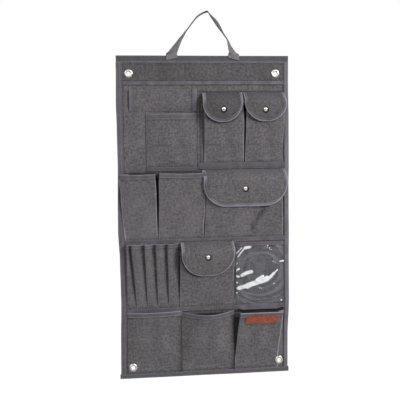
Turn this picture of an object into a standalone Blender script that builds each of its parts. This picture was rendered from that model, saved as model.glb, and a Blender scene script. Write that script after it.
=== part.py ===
"""Hanging canvas organizer with four rows of pockets, four snap flaps, four eyelets and a webbing handle.

Metres, +Z up. X runs to the right along the front, and the front faces -Y.
The origin lies midway between the two top eyelets, on the organizer's back plane.
Heights are written as drops: distances down from the panel's top edge.
"""

import math

import bmesh
import bpy
from mathutils import Vector

MM = 0.001

# Panel
PANEL_WIDTH = 432 * MM
BINDING_LEFT = 16 * MM
BINDING_RIGHT = 11 * MM
BINDING_TOP = 17 * MM
BINDING_BOTTOM = 10 * MM
BINDING_OVERRUN = 3 * MM  # the bottom binding is folded round both corners
CANVAS = 0.9 * MM
TAPE = 0.6 * MM
GAP = 0.3 * MM

# Rows, from the top edge down
HEADER_HEIGHT = 63 * MM
HEADER_TAPE = 8 * MM
ROW_1_SPACE = 19 * MM
SMALL_POCKET_HEIGHT = 175 * MM
BASE_TAPE = 10 * MM
ROW_2_SPACE = 7 * MM
ROW_2_HEIGHT = 172 * MM
ROW_3_SPACE = 2.5 * MM
ROW_3_HEIGHT = 160 * MM
ROW_4_SPACE = 3 * MM
ROW_4_HEIGHT = 150.5 * MM

# Row 1
SLEEVE_MARGIN = 16 * MM
SLEEVE_DROP = 11 * MM
SLEEVE_HEIGHT = 54 * MM
SLEEVE_BULGE = 8 * MM
SLEEVE_TAPE = 13 * MM
PATCH_MARGIN = 56 * MM
PATCH_DROP = 5 * MM
PATCH_BULGE = 9 * MM
PATCH_HEM = 13 * MM
LEFT_SMALL_WIDTH = 103 * MM
RIGHT_SMALL_WIDTH = 97 * MM
SMALL_POCKET_STRIP = 14 * MM  # bare canvas between the patch pocket and the small pockets
LEFT_BASE_DROP = 9 * MM  # the patch pocket's base tape lies this much lower

# Row 2
TALL_POCKET_WIDTH = 83 * MM
TALL_POCKET_LEAN = 15 * MM
TALL_POCKET_DROP = 6 * MM
WIDE_POCKET_WIDTH = 204 * MM
WIDE_POCKET_LEAN = 5 * MM  # its mouth leans this far over the right binding

# Row 3
CUTLERY_SLOTS = 5
CUTLERY_SLOT_WIDTH = 26.8 * MM
CUTLERY_BULGE = 13 * MM
CUTLERY_HEM = 9 * MM
CUTLERY_LEAN = 6 * MM
CLEAR_POCKET_WIDTH = 124 * MM
CLEAR_POCKET_BULGE = 8 * MM
CLEAR_POCKET_TAPE = 8 * MM
FILM = 0.4 * MM
ROW_3_STRIP = 7 * MM

# Row 4
LOW_LEFT_WIDTH = 140 * MM
LOW_LEFT_BULGE = 9 * MM
LOW_MIDDLE_BULGE = 22 * MM
LOW_MIDDLE_SAG = 4 * MM
LOW_RIGHT_WIDTH = 125 * MM
LOW_RIGHT_INSET = 12 * MM
LOW_POCKET_FOOT = 34 * MM  # pressed flat over the bottom eyelets

# Pockets
POCKET_DEPTH = 22 * MM
POCKET_HEM = 10 * MM
POCKET_FOOT = 14 * MM
POCKET_CORNER = 3 * MM
FOLD = 2.5 * MM  # how far a side fold is tucked in at the pocket's foot
PLEAT = 3.2 * MM  # between the sewn edges of two pockets side by side
SIDE_CLEAR = 2 * MM  # from a side binding to the first sewn edge
MOUTH_DROP = 23 * MM  # a covered pocket opens this far below its flap's seam

# Flaps
SMALL_FLAP_LENGTH = 74 * MM
WIDE_FLAP_LENGTH = 93 * MM
ROUND_FLAP_LENGTH = 86 * MM
SMALL_FLAP_CORNER = 42 * MM
WIDE_FLAP_CORNER = 54 * MM
ROUND_FLAP_CORNER = 58 * MM
ROUND_FLAP_LAP = 2 * MM  # the round flap's sewn edge lies this far up the tape above it
FLAP_INSET = 1 * MM
LEFT_FLAP_FLARE = 2 * MM
LEFT_FLAP_LEAN = -2.5 * MM  # to the right is positive
RIGHT_FLAP_FLARE = 5 * MM
RIGHT_FLAP_LEAN = 0.5 * MM
WIDE_FLAP_FLARE = 4 * MM
WIDE_FLAP_LEAN = 4 * MM
ROUND_FLAP_FLARE = 1.5 * MM
FLAP_SHOULDER = 19 * MM
FLAP_STRAIGHT = 2 * MM  # at least this much of each side hangs straight below the shoulder
FLAP_BINDING = 7 * MM
FLAP_BINDING_START = 4 * MM  # bare cloth at each end, where the flap bends
FLAP_LIFT = 3.4 * MM  # room for the closed snap between flap and pocket

# Snaps and eyelets
SMALL_SNAP_DROP = 43 * MM
WIDE_SNAP_DROP = 49 * MM
ROUND_SNAP_DROP = 38 * MM
CAP_RADIUS = 7.5 * MM
CAP_HEIGHT = 2.8 * MM
SNAP_POST_RADIUS = 2 * MM
SOCKET_RADIUS = 6.6 * MM
SOCKET_HEIGHT = 1.9 * MM
SOCKET_FLOOR = 0.5 * MM
STUD_RADIUS = 3.2 * MM
STUD_PLAY = 1.1 * MM
STUD_FLANGE = 6 * MM
FLANGE_THICKNESS = 0.5 * MM
EYELET_HOLE = 5 * MM
EYELET_FLANGE = 10 * MM
EYELET_WALL = 0.7 * MM
EYELET_DROP = 44 * MM
EYELET_INSET = 31.5 * MM
LOW_EYELET_LIFT = 26 * MM
LOW_RIGHT_EYELET_INSET = 25 * MM

# Handle
WEBBING_WIDTH = 28 * MM
WEBBING = 1.2 * MM
HANDLE_SPAN = 156 * MM
HANDLE_HEIGHT = 108 * MM
HANDLE_HINGE = 3 * MM  # height of the bend above the top edge
HANDLE_STRAIGHT = 3 * MM  # the webbing leaves the bend straight for this far
TAB_LENGTH = 11 * MM
TAB_SLANT = 7 * MM
LOOP_YAW = math.radians(10)

# Leather label
LABEL_WIDTH = 86 * MM
LABEL_HEIGHT = 23 * MM
LABEL = 1.2 * MM
LABEL_DROP = 12 * MM

ROUND_STEPS = 16
CUTTER_REACH = 8 * MM  # past both faces of any cloth that is pierced
SAME_PLACE = 0.001 * MM

# Depths in front of the back plane, worked out from the layers
PANEL_REAR = TAPE + GAP
PANEL_FRONT = PANEL_REAR + CANVAS
LAYER = PANEL_FRONT + GAP + CANVAS / 2  # mid-plane of what is sewn on the panel
LAYER_FRONT = LAYER + CANVAS / 2
TAPE_REAR = LAYER_FRONT + GAP
EDGE_DEPTH = TAPE_REAR + TAPE
HEM_OFFSET = CANVAS / 2 + GAP + TAPE / 2
EDGE_WRAP = TAPE + GAP  # from a bound edge to the outside of its tape

# Drops of the rows
HEADER_TAPE_BOTTOM = HEADER_HEIGHT + HEADER_TAPE
ROW_1_SEAM = HEADER_TAPE_BOTTOM + ROW_1_SPACE
ROW_1_BASE = ROW_1_SEAM + SMALL_POCKET_HEIGHT
ROW_2_SEAM = ROW_1_BASE + BASE_TAPE + ROW_2_SPACE
ROW_2_BASE = ROW_2_SEAM + ROW_2_HEIGHT
ROW_3_TOP = ROW_2_BASE + BASE_TAPE + ROW_3_SPACE
ROW_3_SEAM = ROW_2_BASE + BASE_TAPE - ROUND_FLAP_LAP
ROW_3_BASE = ROW_3_TOP + ROW_3_HEIGHT
ROW_4_TOP = ROW_3_BASE + BASE_TAPE + ROW_4_SPACE
PANEL_HEIGHT = ROW_4_TOP + ROW_4_HEIGHT + BINDING_BOTTOM

# Sides
HALF = PANEL_WIDTH / 2
INNER_LEFT = -HALF + BINDING_LEFT + GAP
INNER_RIGHT = HALF - BINDING_RIGHT - GAP


def clear_scene():
    for obj in list(bpy.data.objects):
        bpy.data.objects.remove(obj, do_unlink=True)


def principled(name, colour, roughness, metallic=0.0):
    found = bpy.data.materials.new(name)
    found.use_nodes = True
    shader = found.node_tree.nodes["Principled BSDF"]
    shader.inputs["Base Color"].default_value = (*colour, 1.0)
    shader.inputs["Roughness"].default_value = roughness
    shader.inputs["Metallic"].default_value = metallic
    return found


def make_materials():
    return {
        "canvas": principled("canvas", (0.130, 0.117, 0.127), 0.9),
        "tape": principled("binding_tape", (0.141, 0.127, 0.150), 0.8),
        "webbing": principled("webbing", (0.190, 0.171, 0.190), 0.75),
        "film": principled("clear_film", (0.55, 0.56, 0.58), 0.1),
        "nickel": principled("nickel", (0.78, 0.76, 0.72), 0.25, 1.0),
        "leather": principled("leather", (0.39, 0.10, 0.045), 0.6),
    }


def place(x, depth, drop):
    """The point at x, this far in front of the back plane and this far below the top edge."""
    return Vector((x, -depth, EYELET_DROP - drop))


def new_object(name, mesh, material, parent=None):
    mesh.materials.append(material)
    obj = bpy.data.objects.new(name, mesh)
    bpy.context.scene.collection.objects.link(obj)
    if parent:
        obj.parent = parent
        obj.matrix_parent_inverse = parent.matrix_world.inverted()
    return obj


def new_pivot(name, point):
    pivot = bpy.data.objects.new(name, None)
    pivot.location = point
    bpy.context.scene.collection.objects.link(pivot)
    bpy.context.view_layer.update()
    return pivot


def mesh_of(name, points, faces):
    mesh = bpy.data.meshes.new(name)
    mesh.from_pydata([tuple(p) for p in points], [], faces)
    work = bmesh.new()
    work.from_mesh(mesh)
    bmesh.ops.recalc_face_normals(work, faces=work.faces)
    work.to_mesh(mesh)
    work.free()
    return mesh


def grid_faces(rows, columns):
    return [
        (i * columns + j, i * columns + j + 1, (i + 1) * columns + j + 1, (i + 1) * columns + j)
        for i in range(rows - 1)
        for j in range(columns - 1)
    ]


def thick_sheet(name, grid, thickness, material, parent=None):
    """A sheet of even thickness about a grid of mid-surface points."""
    points = [p for row in grid for p in row]
    mesh = mesh_of(name, points, grid_faces(len(grid), len(grid[0])))
    obj = new_object(name, mesh, material, parent)
    solid = obj.modifiers.new("thickness", "SOLIDIFY")
    solid.thickness = thickness
    solid.offset = 0.0
    solid.use_even_offset = True
    solid.use_rim = True
    return obj


def swept(rings):
    """Points and faces of a closed body through rings of equal length."""
    count = len(rings[0])
    points = [p for ring in rings for p in ring]
    faces = [
        (i * count + j, i * count + (j + 1) % count, (i + 1) * count + (j + 1) % count, (i + 1) * count + j)
        for i in range(len(rings) - 1)
        for j in range(count)
    ]
    faces.append(tuple(range(count)))
    faces.append(tuple((len(rings) - 1) * count + j for j in range(count)))
    return points, faces


def joined(bodies):
    """Points and faces of several bodies, as one mesh's."""
    points, faces = [], []
    for body_points, body_faces in bodies:
        start = len(points)
        points += list(body_points)
        faces += [tuple(start + i for i in face) for face in body_faces]
    return points, faces


def in_triangles(body):
    """The same body with each face cut from its first corner, for faces that aren't flat."""
    points, faces = body
    return points, [(face[0], face[k], face[k + 1]) for face in faces for k in range(1, len(face) - 1)]


def block(left, right, near, far, top, bottom):
    """A flat strip between two x, two depths and two drops."""
    around = [(left, near), (right, near), (right, far), (left, far)]
    return swept([[place(x, depth, drop) for x, depth in around] for drop in (top, bottom)])


def new_body(name, body, material, parent=None):
    return new_object(name, mesh_of(name, *body), material, parent)


def new_strip(name, material, *sides):
    return new_body(name, block(*sides), material)


def turned(profile, origin, axis):
    """A closed body turned about axis from a profile of (radius, height) points, round as ROUND_STEPS."""
    spin = axis.to_track_quat("Z", "Y")
    on_axis = [k for k, (radius, _) in enumerate(profile) if radius == 0.0]
    points, faces, index = [], [], {}
    for k, (radius, height) in enumerate(profile):
        steps = 1 if k in on_axis else ROUND_STEPS
        for s in range(steps):
            angle = 2 * math.pi * s / ROUND_STEPS
            local = Vector((radius * math.cos(angle), radius * math.sin(angle), height))
            index[k, s] = len(points)
            points.append(origin + spin @ local)
    closes = not on_axis
    count = len(profile)
    for k in range(count if closes else count - 1):
        after = (k + 1) % count
        for s in range(ROUND_STEPS):
            t = (s + 1) % ROUND_STEPS
            corners = [index[k, s if k not in on_axis else 0]]
            if k not in on_axis:
                corners.append(index[k, t])
            if after not in on_axis:
                corners.append(index[after, t])
            corners.append(index[after, s if after not in on_axis else 0])
            faces.append(tuple(corners))
    return points, faces


def new_turned(name, material, body, parent=None):
    obj = new_body(name, body, material, parent)
    obj.data.shade_smooth()
    obj.data.set_sharp_from_angle(angle=math.radians(40))
    return obj


def cut_holes(obj, name, centres, radius, axis):
    """Cuts round holes of this radius through the object, with one hidden cutter."""
    reach = CUTTER_REACH
    profile = [(0.0, -reach), (radius, -reach), (radius, reach), (0.0, reach)]
    bodies = [turned(profile, centre, axis) for centre in centres]
    points, faces = joined(bodies)
    cutter = new_object(name, mesh_of(name, points, faces), obj.data.materials[0], obj.parent)
    cutter.hide_render = True
    cutter.display_type = "WIRE"
    cut = obj.modifiers.new(name, "BOOLEAN")
    cut.operation = "DIFFERENCE"
    cut.object = cutter
    cut.solver = "EXACT"


def eyelet_places():
    """(x, drop) of the top left, top right, bottom left and bottom right eyelets."""
    low = PANEL_HEIGHT - LOW_EYELET_LIFT
    return [
        (-HALF + EYELET_INSET, EYELET_DROP),
        (HALF - EYELET_INSET, EYELET_DROP),
        (-HALF + EYELET_INSET, low),
        (HALF - LOW_RIGHT_EYELET_INSET, low),
    ]


def make_panel(materials):
    inset = EDGE_WRAP
    panel = new_strip(
        "back_panel",
        materials["canvas"],
        -HALF + inset, HALF - inset, PANEL_REAR, PANEL_FRONT, inset, PANEL_HEIGHT - inset,
    )
    facing = new_strip(
        "header_facing",
        materials["canvas"],
        -HALF + inset, HALF - inset, LAYER - CANVAS / 2, LAYER_FRONT, inset, HEADER_HEIGHT + HEADER_TAPE / 2,
    )
    hole = EYELET_HOLE + EYELET_WALL + GAP
    forward = Vector((0, -1, 0))
    centres = [place(x, LAYER, drop) for x, drop in eyelet_places()]
    cut_holes(panel, "panel_hole_cutter", centres, hole, forward)
    cut_holes(facing, "facing_hole_cutter", centres[:2], hole, forward)
    new_strip(
        "header_tape",
        materials["tape"],
        INNER_LEFT, INNER_RIGHT, TAPE_REAR, EDGE_DEPTH, HEADER_HEIGHT, HEADER_TAPE_BOTTOM,
    )


def folded_ring(place_at, inner, outer, rear_inner):
    """A tape folded round an edge: its outline as points place_at(distance, depth)."""
    wrap = math.copysign(TAPE, outer - inner)
    chamfer = math.copysign(TAPE * 0.8, outer - inner)
    return [
        place_at(rear_inner, 0.0),
        place_at(outer - chamfer, 0.0),
        place_at(outer, abs(chamfer)),
        place_at(outer, EDGE_DEPTH - abs(chamfer)),
        place_at(outer - chamfer, EDGE_DEPTH),
        place_at(inner, EDGE_DEPTH),
        place_at(inner, TAPE_REAR),
        place_at(outer - wrap, TAPE_REAR),
        place_at(outer - wrap, TAPE),
        place_at(rear_inner, TAPE),
    ]


def make_bindings(materials):
    side_top = BINDING_TOP + GAP
    side_bottom = PANEL_HEIGHT - BINDING_BOTTOM - GAP
    sides = (
        ("binding_left", -HALF, -HALF + BINDING_LEFT),
        ("binding_right", HALF, HALF - BINDING_RIGHT),
    )
    for name, outer, inner in sides:
        rings = [
            folded_ring(lambda x, depth, d=drop: place(x, depth, d), inner, outer, inner)
            for drop in (side_top, side_bottom)
        ]
        new_body(name, swept(rings), materials["tape"])
    ends = (
        ("binding_top", 0.0, BINDING_TOP, HALF),
        ("binding_bottom", PANEL_HEIGHT, PANEL_HEIGHT - BINDING_BOTTOM, HALF + BINDING_OVERRUN),
    )
    for name, outer, inner, reach in ends:
        rings = [
            folded_ring(lambda drop, depth, at=x: place(at, depth, drop), inner, outer, inner)
            for x in (-reach, reach)
        ]
        new_body(name, swept(rings), materials["tape"])


def make_eyelets(materials):
    """Each eyelet is set through the cloth: front flange, barrel and flat rear flange."""
    top = EDGE_DEPTH + EYELET_WALL
    barrel = EYELET_HOLE + EYELET_WALL
    profile = [
        (EYELET_HOLE, 0.0),
        (EYELET_FLANGE, 0.0),
        (EYELET_FLANGE, TAPE),
        (barrel, TAPE),
        (barrel, TAPE_REAR),
        (EYELET_FLANGE, TAPE_REAR),
        (EYELET_FLANGE, EDGE_DEPTH),
        ((barrel + EYELET_FLANGE) / 2, top),
        (barrel, top),
        (EYELET_HOLE, EDGE_DEPTH),
    ]
    names = ("eyelet_top_left", "eyelet_top_right", "eyelet_bottom_left", "eyelet_bottom_right")
    for name, (x, drop) in zip(names, eyelet_places()):
        new_turned(name, materials["nickel"], turned(profile, place(x, 0.0, drop), Vector((0, -1, 0))))


def arch_section(left, right, bulge, drop, sag=0.0, steps=7, layer=LAYER):
    """Places across a pouch that arches between two sewn edges, at one height."""
    flange = FOLD
    places = [(left, layer, drop)]
    for k in range(steps + 1):
        turn = math.pi * k / steps
        x = left + flange + (right - left - 2 * flange) * k / steps
        rise = math.sin(turn) ** 0.8 if 0 < k < steps else 0.0
        places.append((x, layer + bulge * rise, drop + sag * math.sin(turn)))
    places.append((right, layer, drop))
    return places


def gusset_section(pocket, drop):
    """Places across a pocket with a flat front and two side gussets, at one height."""
    share = pocket_share(pocket, drop)
    depth = pocket["depth"] * share
    round_depth = min(POCKET_CORNER, 0.3 * depth)
    round_width = POCKET_CORNER
    left, right = pocket["left"], pocket["right"]
    near_left = left + FOLD + (pocket["inset_left"] - FOLD) * share
    near_right = right - FOLD - (pocket["inset_right"] - FOLD) * share
    depth_left = LAYER + depth * pocket.get("left_depth_share", 1.0)
    depth_right = LAYER + depth
    stand = (EDGE_DEPTH + GAP + CANVAS - LAYER) * min(1.0, 5 * share)
    places = [(left, LAYER, drop), (left + 0.4 * FOLD, LAYER + stand, drop)]
    places += [
        (near_left, depth_left - round_depth, drop),
        (near_left + 0.3 * round_width, depth_left - 0.3 * round_depth, drop),
        (near_left + round_width, depth_left, drop),
        ((near_left + near_right) / 2, (depth_left + depth_right) / 2, drop),
        (near_right - round_width, depth_right, drop),
        (near_right - 0.3 * round_width, depth_right - 0.3 * round_depth, drop),
        (near_right, depth_right - round_depth, drop),
    ]
    places += [(right - 0.4 * FOLD, LAYER + stand, drop), (right, LAYER, drop)]
    return places


def pocket_share(pocket, drop):
    """1 at the mouth, 0 where the pocket lies flat on the panel at its foot."""
    foot = pocket["bottom"] - pocket["foot"]
    return min(1.0, max(0.0, (foot - drop) / (foot - pocket["top"])))


def pocket_drops(pocket, hem=POCKET_HEM):
    foot = pocket["bottom"] - pocket["foot"]
    start = pocket["top"] + hem
    return [pocket["top"], *(start + (foot - start) * k for k in (0.0, 0.3, 0.65, 1.0)), pocket["bottom"]]


def offset_places(places, distance):
    """The section moved away from the panel by this distance, along its own normals."""
    moved = []
    last = len(places) - 1
    for k, (x, depth, drop) in enumerate(places):
        before = places[max(k - 1, 0)]
        after = places[min(k + 1, last)]
        first = Vector((x - before[0], depth - before[1])) if k else None
        second = Vector((after[0] - x, after[1] - depth)) if k < last else None
        first = (first or second).normalized()
        second = (second or first).normalized()
        normal = Vector((-(first.y + second.y), first.x + second.x)).normalized()
        stretch = 1.0 / max(0.5, normal.dot(Vector((-first.y, first.x))))
        moved.append((x + normal.x * distance * stretch, depth + normal.y * distance * stretch, drop))
    return moved


def lifted(places, rise):
    return [(x, depth, drop - rise) for x, depth, drop in places]


def hem_grid(section_at, top, height):
    """Mid-surface of a tape on a pocket's outside, turned over its top edge."""
    up = GAP + TAPE
    rows = [
        lifted(section_at(top), up),
        lifted(offset_places(section_at(top), HEM_OFFSET * 0.55), up),
        offset_places(section_at(top), HEM_OFFSET),
        offset_places(section_at(top + height), HEM_OFFSET),
    ]
    return [[place(*p) for p in row] for row in rows]


def make_pouch(name, section_at, drops, hem, materials, hem_name, cloth="canvas", thickness=CANVAS):
    grid = [[place(*p) for p in section_at(drop)] for drop in drops]
    pouch = thick_sheet(name, grid, thickness, materials[cloth])
    thick_sheet(hem_name, hem_grid(section_at, drops[0], hem), TAPE, materials["tape"])
    return pouch


def gusset_pocket(left, right, top, bottom, inset_left, inset_right, foot=POCKET_FOOT, **more):
    return {
        "left": left,
        "right": right,
        "top": top,
        "bottom": bottom,
        "depth": POCKET_DEPTH,
        "inset_left": inset_left,
        "inset_right": inset_right,
        "foot": foot,
        **more,
    }


def arch_pocket(left, right, top, bottom, bulge, foot=POCKET_FOOT, sag=0.0, layer=LAYER):
    pocket = {"top": top, "bottom": bottom, "foot": foot, "left": left, "right": right}

    def section_at(drop):
        share = pocket_share(pocket, drop)
        return arch_section(left, right, bulge * share**0.7, drop, sag * share, layer=layer)

    return pocket, section_at


def small_pocket_edges():
    """(left, right) of the two small flap pockets, and the patch pocket's right edge."""
    far_right = INNER_RIGHT - SIDE_CLEAR
    split = far_right - RIGHT_SMALL_WIDTH
    near_left = split - PLEAT - LEFT_SMALL_WIDTH
    return (near_left, split - PLEAT), (split, far_right), near_left - SMALL_POCKET_STRIP


def covered_pockets():
    """The four pockets that a flap closes, by name."""
    first, second, _ = small_pocket_edges()
    row_1_bottom = ROW_1_BASE + BASE_TAPE - GAP
    row_2_bottom = ROW_2_BASE + BASE_TAPE - GAP
    row_3_bottom = ROW_3_BASE + BASE_TAPE - GAP
    wide_right = INNER_RIGHT - SIDE_CLEAR
    round_left = INNER_LEFT + CUTLERY_SLOTS * CUTLERY_SLOT_WIDTH + PLEAT
    round_right = INNER_RIGHT - CLEAR_POCKET_WIDTH - ROW_3_STRIP
    return {
        "small_pocket_left": gusset_pocket(*first, ROW_1_SEAM + MOUTH_DROP, row_1_bottom, FOLD, FOLD / 2),
        "small_pocket_right": gusset_pocket(*second, ROW_1_SEAM + MOUTH_DROP, row_1_bottom, FOLD / 2, -FOLD),
        "wide_pocket": gusset_pocket(
            wide_right - WIDE_POCKET_WIDTH,
            wide_right,
            ROW_2_SEAM + MOUTH_DROP,
            row_2_bottom,
            FOLD,
            -WIDE_POCKET_LEAN,
        ),
        "round_pocket": gusset_pocket(
            round_left, round_right, ROW_3_SEAM + MOUTH_DROP, row_3_bottom, FOLD, FOLD
        ),
    }


def make_covered_pockets(materials):
    """The pockets behind the flaps, each with its snap's stud."""
    for name, pocket in covered_pockets().items():
        grid = [[place(*p) for p in gusset_section(pocket, drop)] for drop in pocket_drops(pocket)]
        pouch = thick_sheet(name, grid, CANVAS, materials["canvas"])
        centre, normal = snap_seat(pocket, FLAPS[name])
        cut_holes(pouch, name + "_hole_cutter", [centre], SNAP_POST_RADIUS + GAP, normal)
        stud = name.replace("pocket", "snap_stud")
        new_turned(stud, materials["nickel"], stud_body(centre, normal))


def front_slope(pocket):
    """How much a covered pocket's front comes back towards the panel, per metre of drop."""
    return pocket["depth"] / (pocket["bottom"] - pocket["foot"] - pocket["top"])


def front_depth(pocket, drop):
    """Depth of the mid-surface of the pocket's front at this drop, and above its mouth the same plane."""
    return LAYER + pocket["depth"] - front_slope(pocket) * (drop - pocket["top"])


def snap_seat(pocket, flap):
    """The snap's centre on the pocket front's mid-surface, and the front's outward normal."""
    drop = flap["seam"] + flap["snap"]
    normal = Vector((0, -1, -front_slope(pocket))).normalized()
    return place(flap["middle"] + flap["lean"], front_depth(pocket, drop), drop), normal


def stud_body(centre, normal):
    """Stud riveted through the pocket's front: rear flange, post, front flange and head."""
    base = CANVAS / 2 + GAP
    front = base + FLANGE_THICKNESS
    head = CANVAS / 2 + FLAP_LIFT - GAP - SOCKET_FLOOR - GAP
    neck = STUD_RADIUS * 0.8
    profile = [
        (0.0, -front),
        (STUD_FLANGE, -front),
        (STUD_FLANGE, -base),
        (SNAP_POST_RADIUS, -base),
        (SNAP_POST_RADIUS, base),
        (STUD_FLANGE, base),
        (STUD_FLANGE, front),
        (neck, front),
        (STUD_RADIUS, (front + head) / 2),
        (neck, head),
        (0.0, head),
    ]
    return turned(profile, centre, normal)


def flap_profile(flap, along):
    """(drop, depth) on the flap's mid-surface at this distance down from its seam, and the outward normal."""
    pocket = flap["pocket"]
    slope = front_slope(pocket)
    shoulder_drop = flap["seam"] + FLAP_SHOULDER
    lift = (CANVAS + FLAP_LIFT) / math.cos(math.atan(slope))
    shoulder_depth = front_depth(pocket, shoulder_drop) + lift
    start = Vector((flap["seam"], flap["hinge_depth"]))
    shoulder = Vector((shoulder_drop, shoulder_depth))
    rise = (shoulder - start).length
    down = Vector((1.0, -slope)).normalized()
    if along < rise - SAME_PLACE:
        step = (shoulder - start).normalized()
        point = start + step * along
    else:
        step = down
        point = shoulder + step * (along - rise)
    normal = Vector((-step.y, step.x))
    if abs(along - rise) < SAME_PLACE:
        other = (shoulder - start).normalized()
        bisector = (normal + Vector((-other.y, other.x))).normalized()
        normal = bisector / bisector.dot(normal)
    return point, normal, rise


def flap_point(flap, x, along, lift=0.0):
    """Where a point of the flat flap comes to lie, lifted off its mid-surface."""
    point, normal, rise = flap_profile(flap, along)
    shift = flap["lean"] * min(1.0, along / rise)
    return place(x + shift, point.y + normal.y * lift, point.x + normal.x * lift)


def flap_rise(flap):
    return flap_profile(flap, 0.0)[2]


def flap_length(flap):
    """Length of the flap along its own surface, so that it hangs down to the stated drop."""
    slope = front_slope(flap["pocket"])
    return flap_rise(flap) + (flap["length"] - FLAP_SHOULDER) * math.sqrt(1 + slope**2)


def flap_half_outline(flap, inset):
    """(x offset from the flap's middle, distance along) down the right side to the bottom's middle."""
    rise = flap_rise(flap)
    length = flap_length(flap) - inset
    half = flap["half"] - inset
    widest = half + flap["flare"]
    corner = flap["corner"]
    flat = max(widest - corner, 0.0)
    arc_start = max(length - (corner - inset), rise + FLAP_STRAIGHT)
    outline = [(half, 0.0), (half + 0.8 * flap["flare"], rise), (widest, arc_start)]
    steps = 7
    for k in range(1, steps + 1):
        turn = math.pi / 2 * k / steps
        along = arc_start + (length - arc_start) * math.sin(turn)
        outline.append((flat + (widest - flat) * math.cos(turn), along))
    return outline


def make_flap_cloth(name, flap, material, pivot):
    inset = EDGE_WRAP
    rings = []
    for x, along in flap_half_outline(flap, inset):
        left, right = flap["middle"] - x, flap["middle"] + x
        half = CANVAS / 2
        rings.append(
            [
                flap_point(flap, left, along, -half),
                flap_point(flap, right, along, -half),
                flap_point(flap, right, along, half),
                flap_point(flap, left, along, half),
            ]
        )
    return new_body(name, swept(rings), material, pivot)


def make_flap_binding(name, flap, material, pivot):
    """Tape folded round the flap's free edge, from the seam round to the seam."""
    right_side = flap_half_outline(flap, EDGE_WRAP)
    first_x, shoulder_x = right_side[0][0], right_side[1][0]
    share = FLAP_BINDING_START / flap_rise(flap)
    right_side[0] = (first_x + (shoulder_x - first_x) * share, FLAP_BINDING_START)
    left_side = [(-x, along) for x, along in right_side[::-1]]
    path = [*right_side, *left_side]
    last = len(path) - 1
    straight = 3  # stations down each straight side, from the seam to where the curve starts
    rings = []
    for k, (x, along) in enumerate(path):
        before = Vector(path[max(k - 1, 0)])
        after = Vector(path[min(k + 1, last)])
        run = (after - before).normalized()
        outward = Vector((run.y, -run.x))
        if min(k, last - k) < straight:
            outward = Vector((1.0 if k < straight else -1.0, 0.0))
        near = CANVAS / 2 + GAP
        far = near + TAPE
        section = [
            (-FLAP_BINDING, far),
            (GAP + TAPE * 0.3, far),
            (GAP + TAPE, near),
            (GAP + TAPE, -near),
            (GAP + TAPE * 0.3, -far),
            (-FLAP_BINDING, -far),
            (-FLAP_BINDING, -near),
            (GAP, -near),
            (GAP, near),
            (-FLAP_BINDING, near),
        ]
        ring = []
        for reach, lift in section:
            spot = Vector((x, along)) + outward * reach
            ring.append(flap_point(flap, flap["middle"] + spot.x, spot.y, lift))
        rings.append(ring)
    return new_body(name, swept(rings), material, pivot)


def cap_body(centre, normal):
    """Domed cap riveted through the flap to the socket behind, whose recess holds the stud's head."""
    base = CANVAS / 2 + GAP
    recess = STUD_RADIUS + STUD_PLAY
    profile = [
        (0.0, -base - SOCKET_FLOOR),
        (recess, -base - SOCKET_FLOOR),
        (recess, -base - SOCKET_HEIGHT),
        (SOCKET_RADIUS, -base - SOCKET_HEIGHT),
        (SOCKET_RADIUS, -base),
        (SNAP_POST_RADIUS, -base),
        (SNAP_POST_RADIUS, base),
        (CAP_RADIUS, base),
        (CAP_RADIUS, base + 0.3 * CAP_HEIGHT),
        (0.8 * CAP_RADIUS, base + 0.75 * CAP_HEIGHT),
        (0.4 * CAP_RADIUS, base + 0.97 * CAP_HEIGHT),
        (0.0, base + CAP_HEIGHT),
    ]
    return turned(profile, centre, normal)


def flap_sizes():
    """Each flap's own sizes, by the name of the pocket that it closes."""
    pockets = covered_pockets()
    on_tape = EDGE_DEPTH + GAP + CANVAS / 2
    shapes = {
        "small_pocket_left": (SMALL_FLAP_LENGTH, SMALL_FLAP_CORNER, SMALL_SNAP_DROP),
        "small_pocket_right": (SMALL_FLAP_LENGTH, SMALL_FLAP_CORNER, SMALL_SNAP_DROP),
        "wide_pocket": (WIDE_FLAP_LENGTH, WIDE_FLAP_CORNER, WIDE_SNAP_DROP),
        "round_pocket": (ROUND_FLAP_LENGTH, ROUND_FLAP_CORNER, ROUND_SNAP_DROP),
    }
    seats = {
        "small_pocket_left": (ROW_1_SEAM, LAYER, FLAP_INSET, LEFT_FLAP_FLARE, LEFT_FLAP_LEAN),
        "small_pocket_right": (ROW_1_SEAM, LAYER, FLAP_INSET, RIGHT_FLAP_FLARE, RIGHT_FLAP_LEAN),
        "wide_pocket": (ROW_2_SEAM, LAYER, 0.0, WIDE_FLAP_FLARE, WIDE_FLAP_LEAN),
        "round_pocket": (ROW_3_SEAM, on_tape, 0.0, ROUND_FLAP_FLARE, 0.0),
    }
    flaps = {}
    for name, pocket in pockets.items():
        length, corner, snap = shapes[name]
        seam, hinge_depth, inset, flare, lean = seats[name]
        flaps[name] = {
            "pocket": pocket,
            "seam": seam,
            "hinge_depth": hinge_depth,
            "length": length,
            "corner": corner,
            "snap": snap,
            "middle": (pocket["left"] + pocket["right"]) / 2,
            "half": (pocket["right"] - pocket["left"]) / 2 - inset,
            "flare": flare,
            "lean": lean,
        }
    return flaps


FLAPS = flap_sizes()


def make_flaps(materials):
    for name, flap in FLAPS.items():
        stem = name.replace("pocket", "flap")
        pivot = new_pivot(stem + "_hinge", place(flap["middle"], flap["hinge_depth"], flap["seam"]))
        cloth = make_flap_cloth(stem, flap, materials["canvas"], pivot)
        make_flap_binding(stem + "_binding", flap, materials["tape"], pivot)
        on_pocket, normal = snap_seat(flap["pocket"], flap)
        centre = on_pocket + normal * (CANVAS + FLAP_LIFT)
        cut_holes(cloth, stem + "_hole_cutter", [centre], SNAP_POST_RADIUS + GAP, normal)
        new_turned(stem + "_snap_cap", materials["nickel"], cap_body(centre, normal), pivot)


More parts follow.
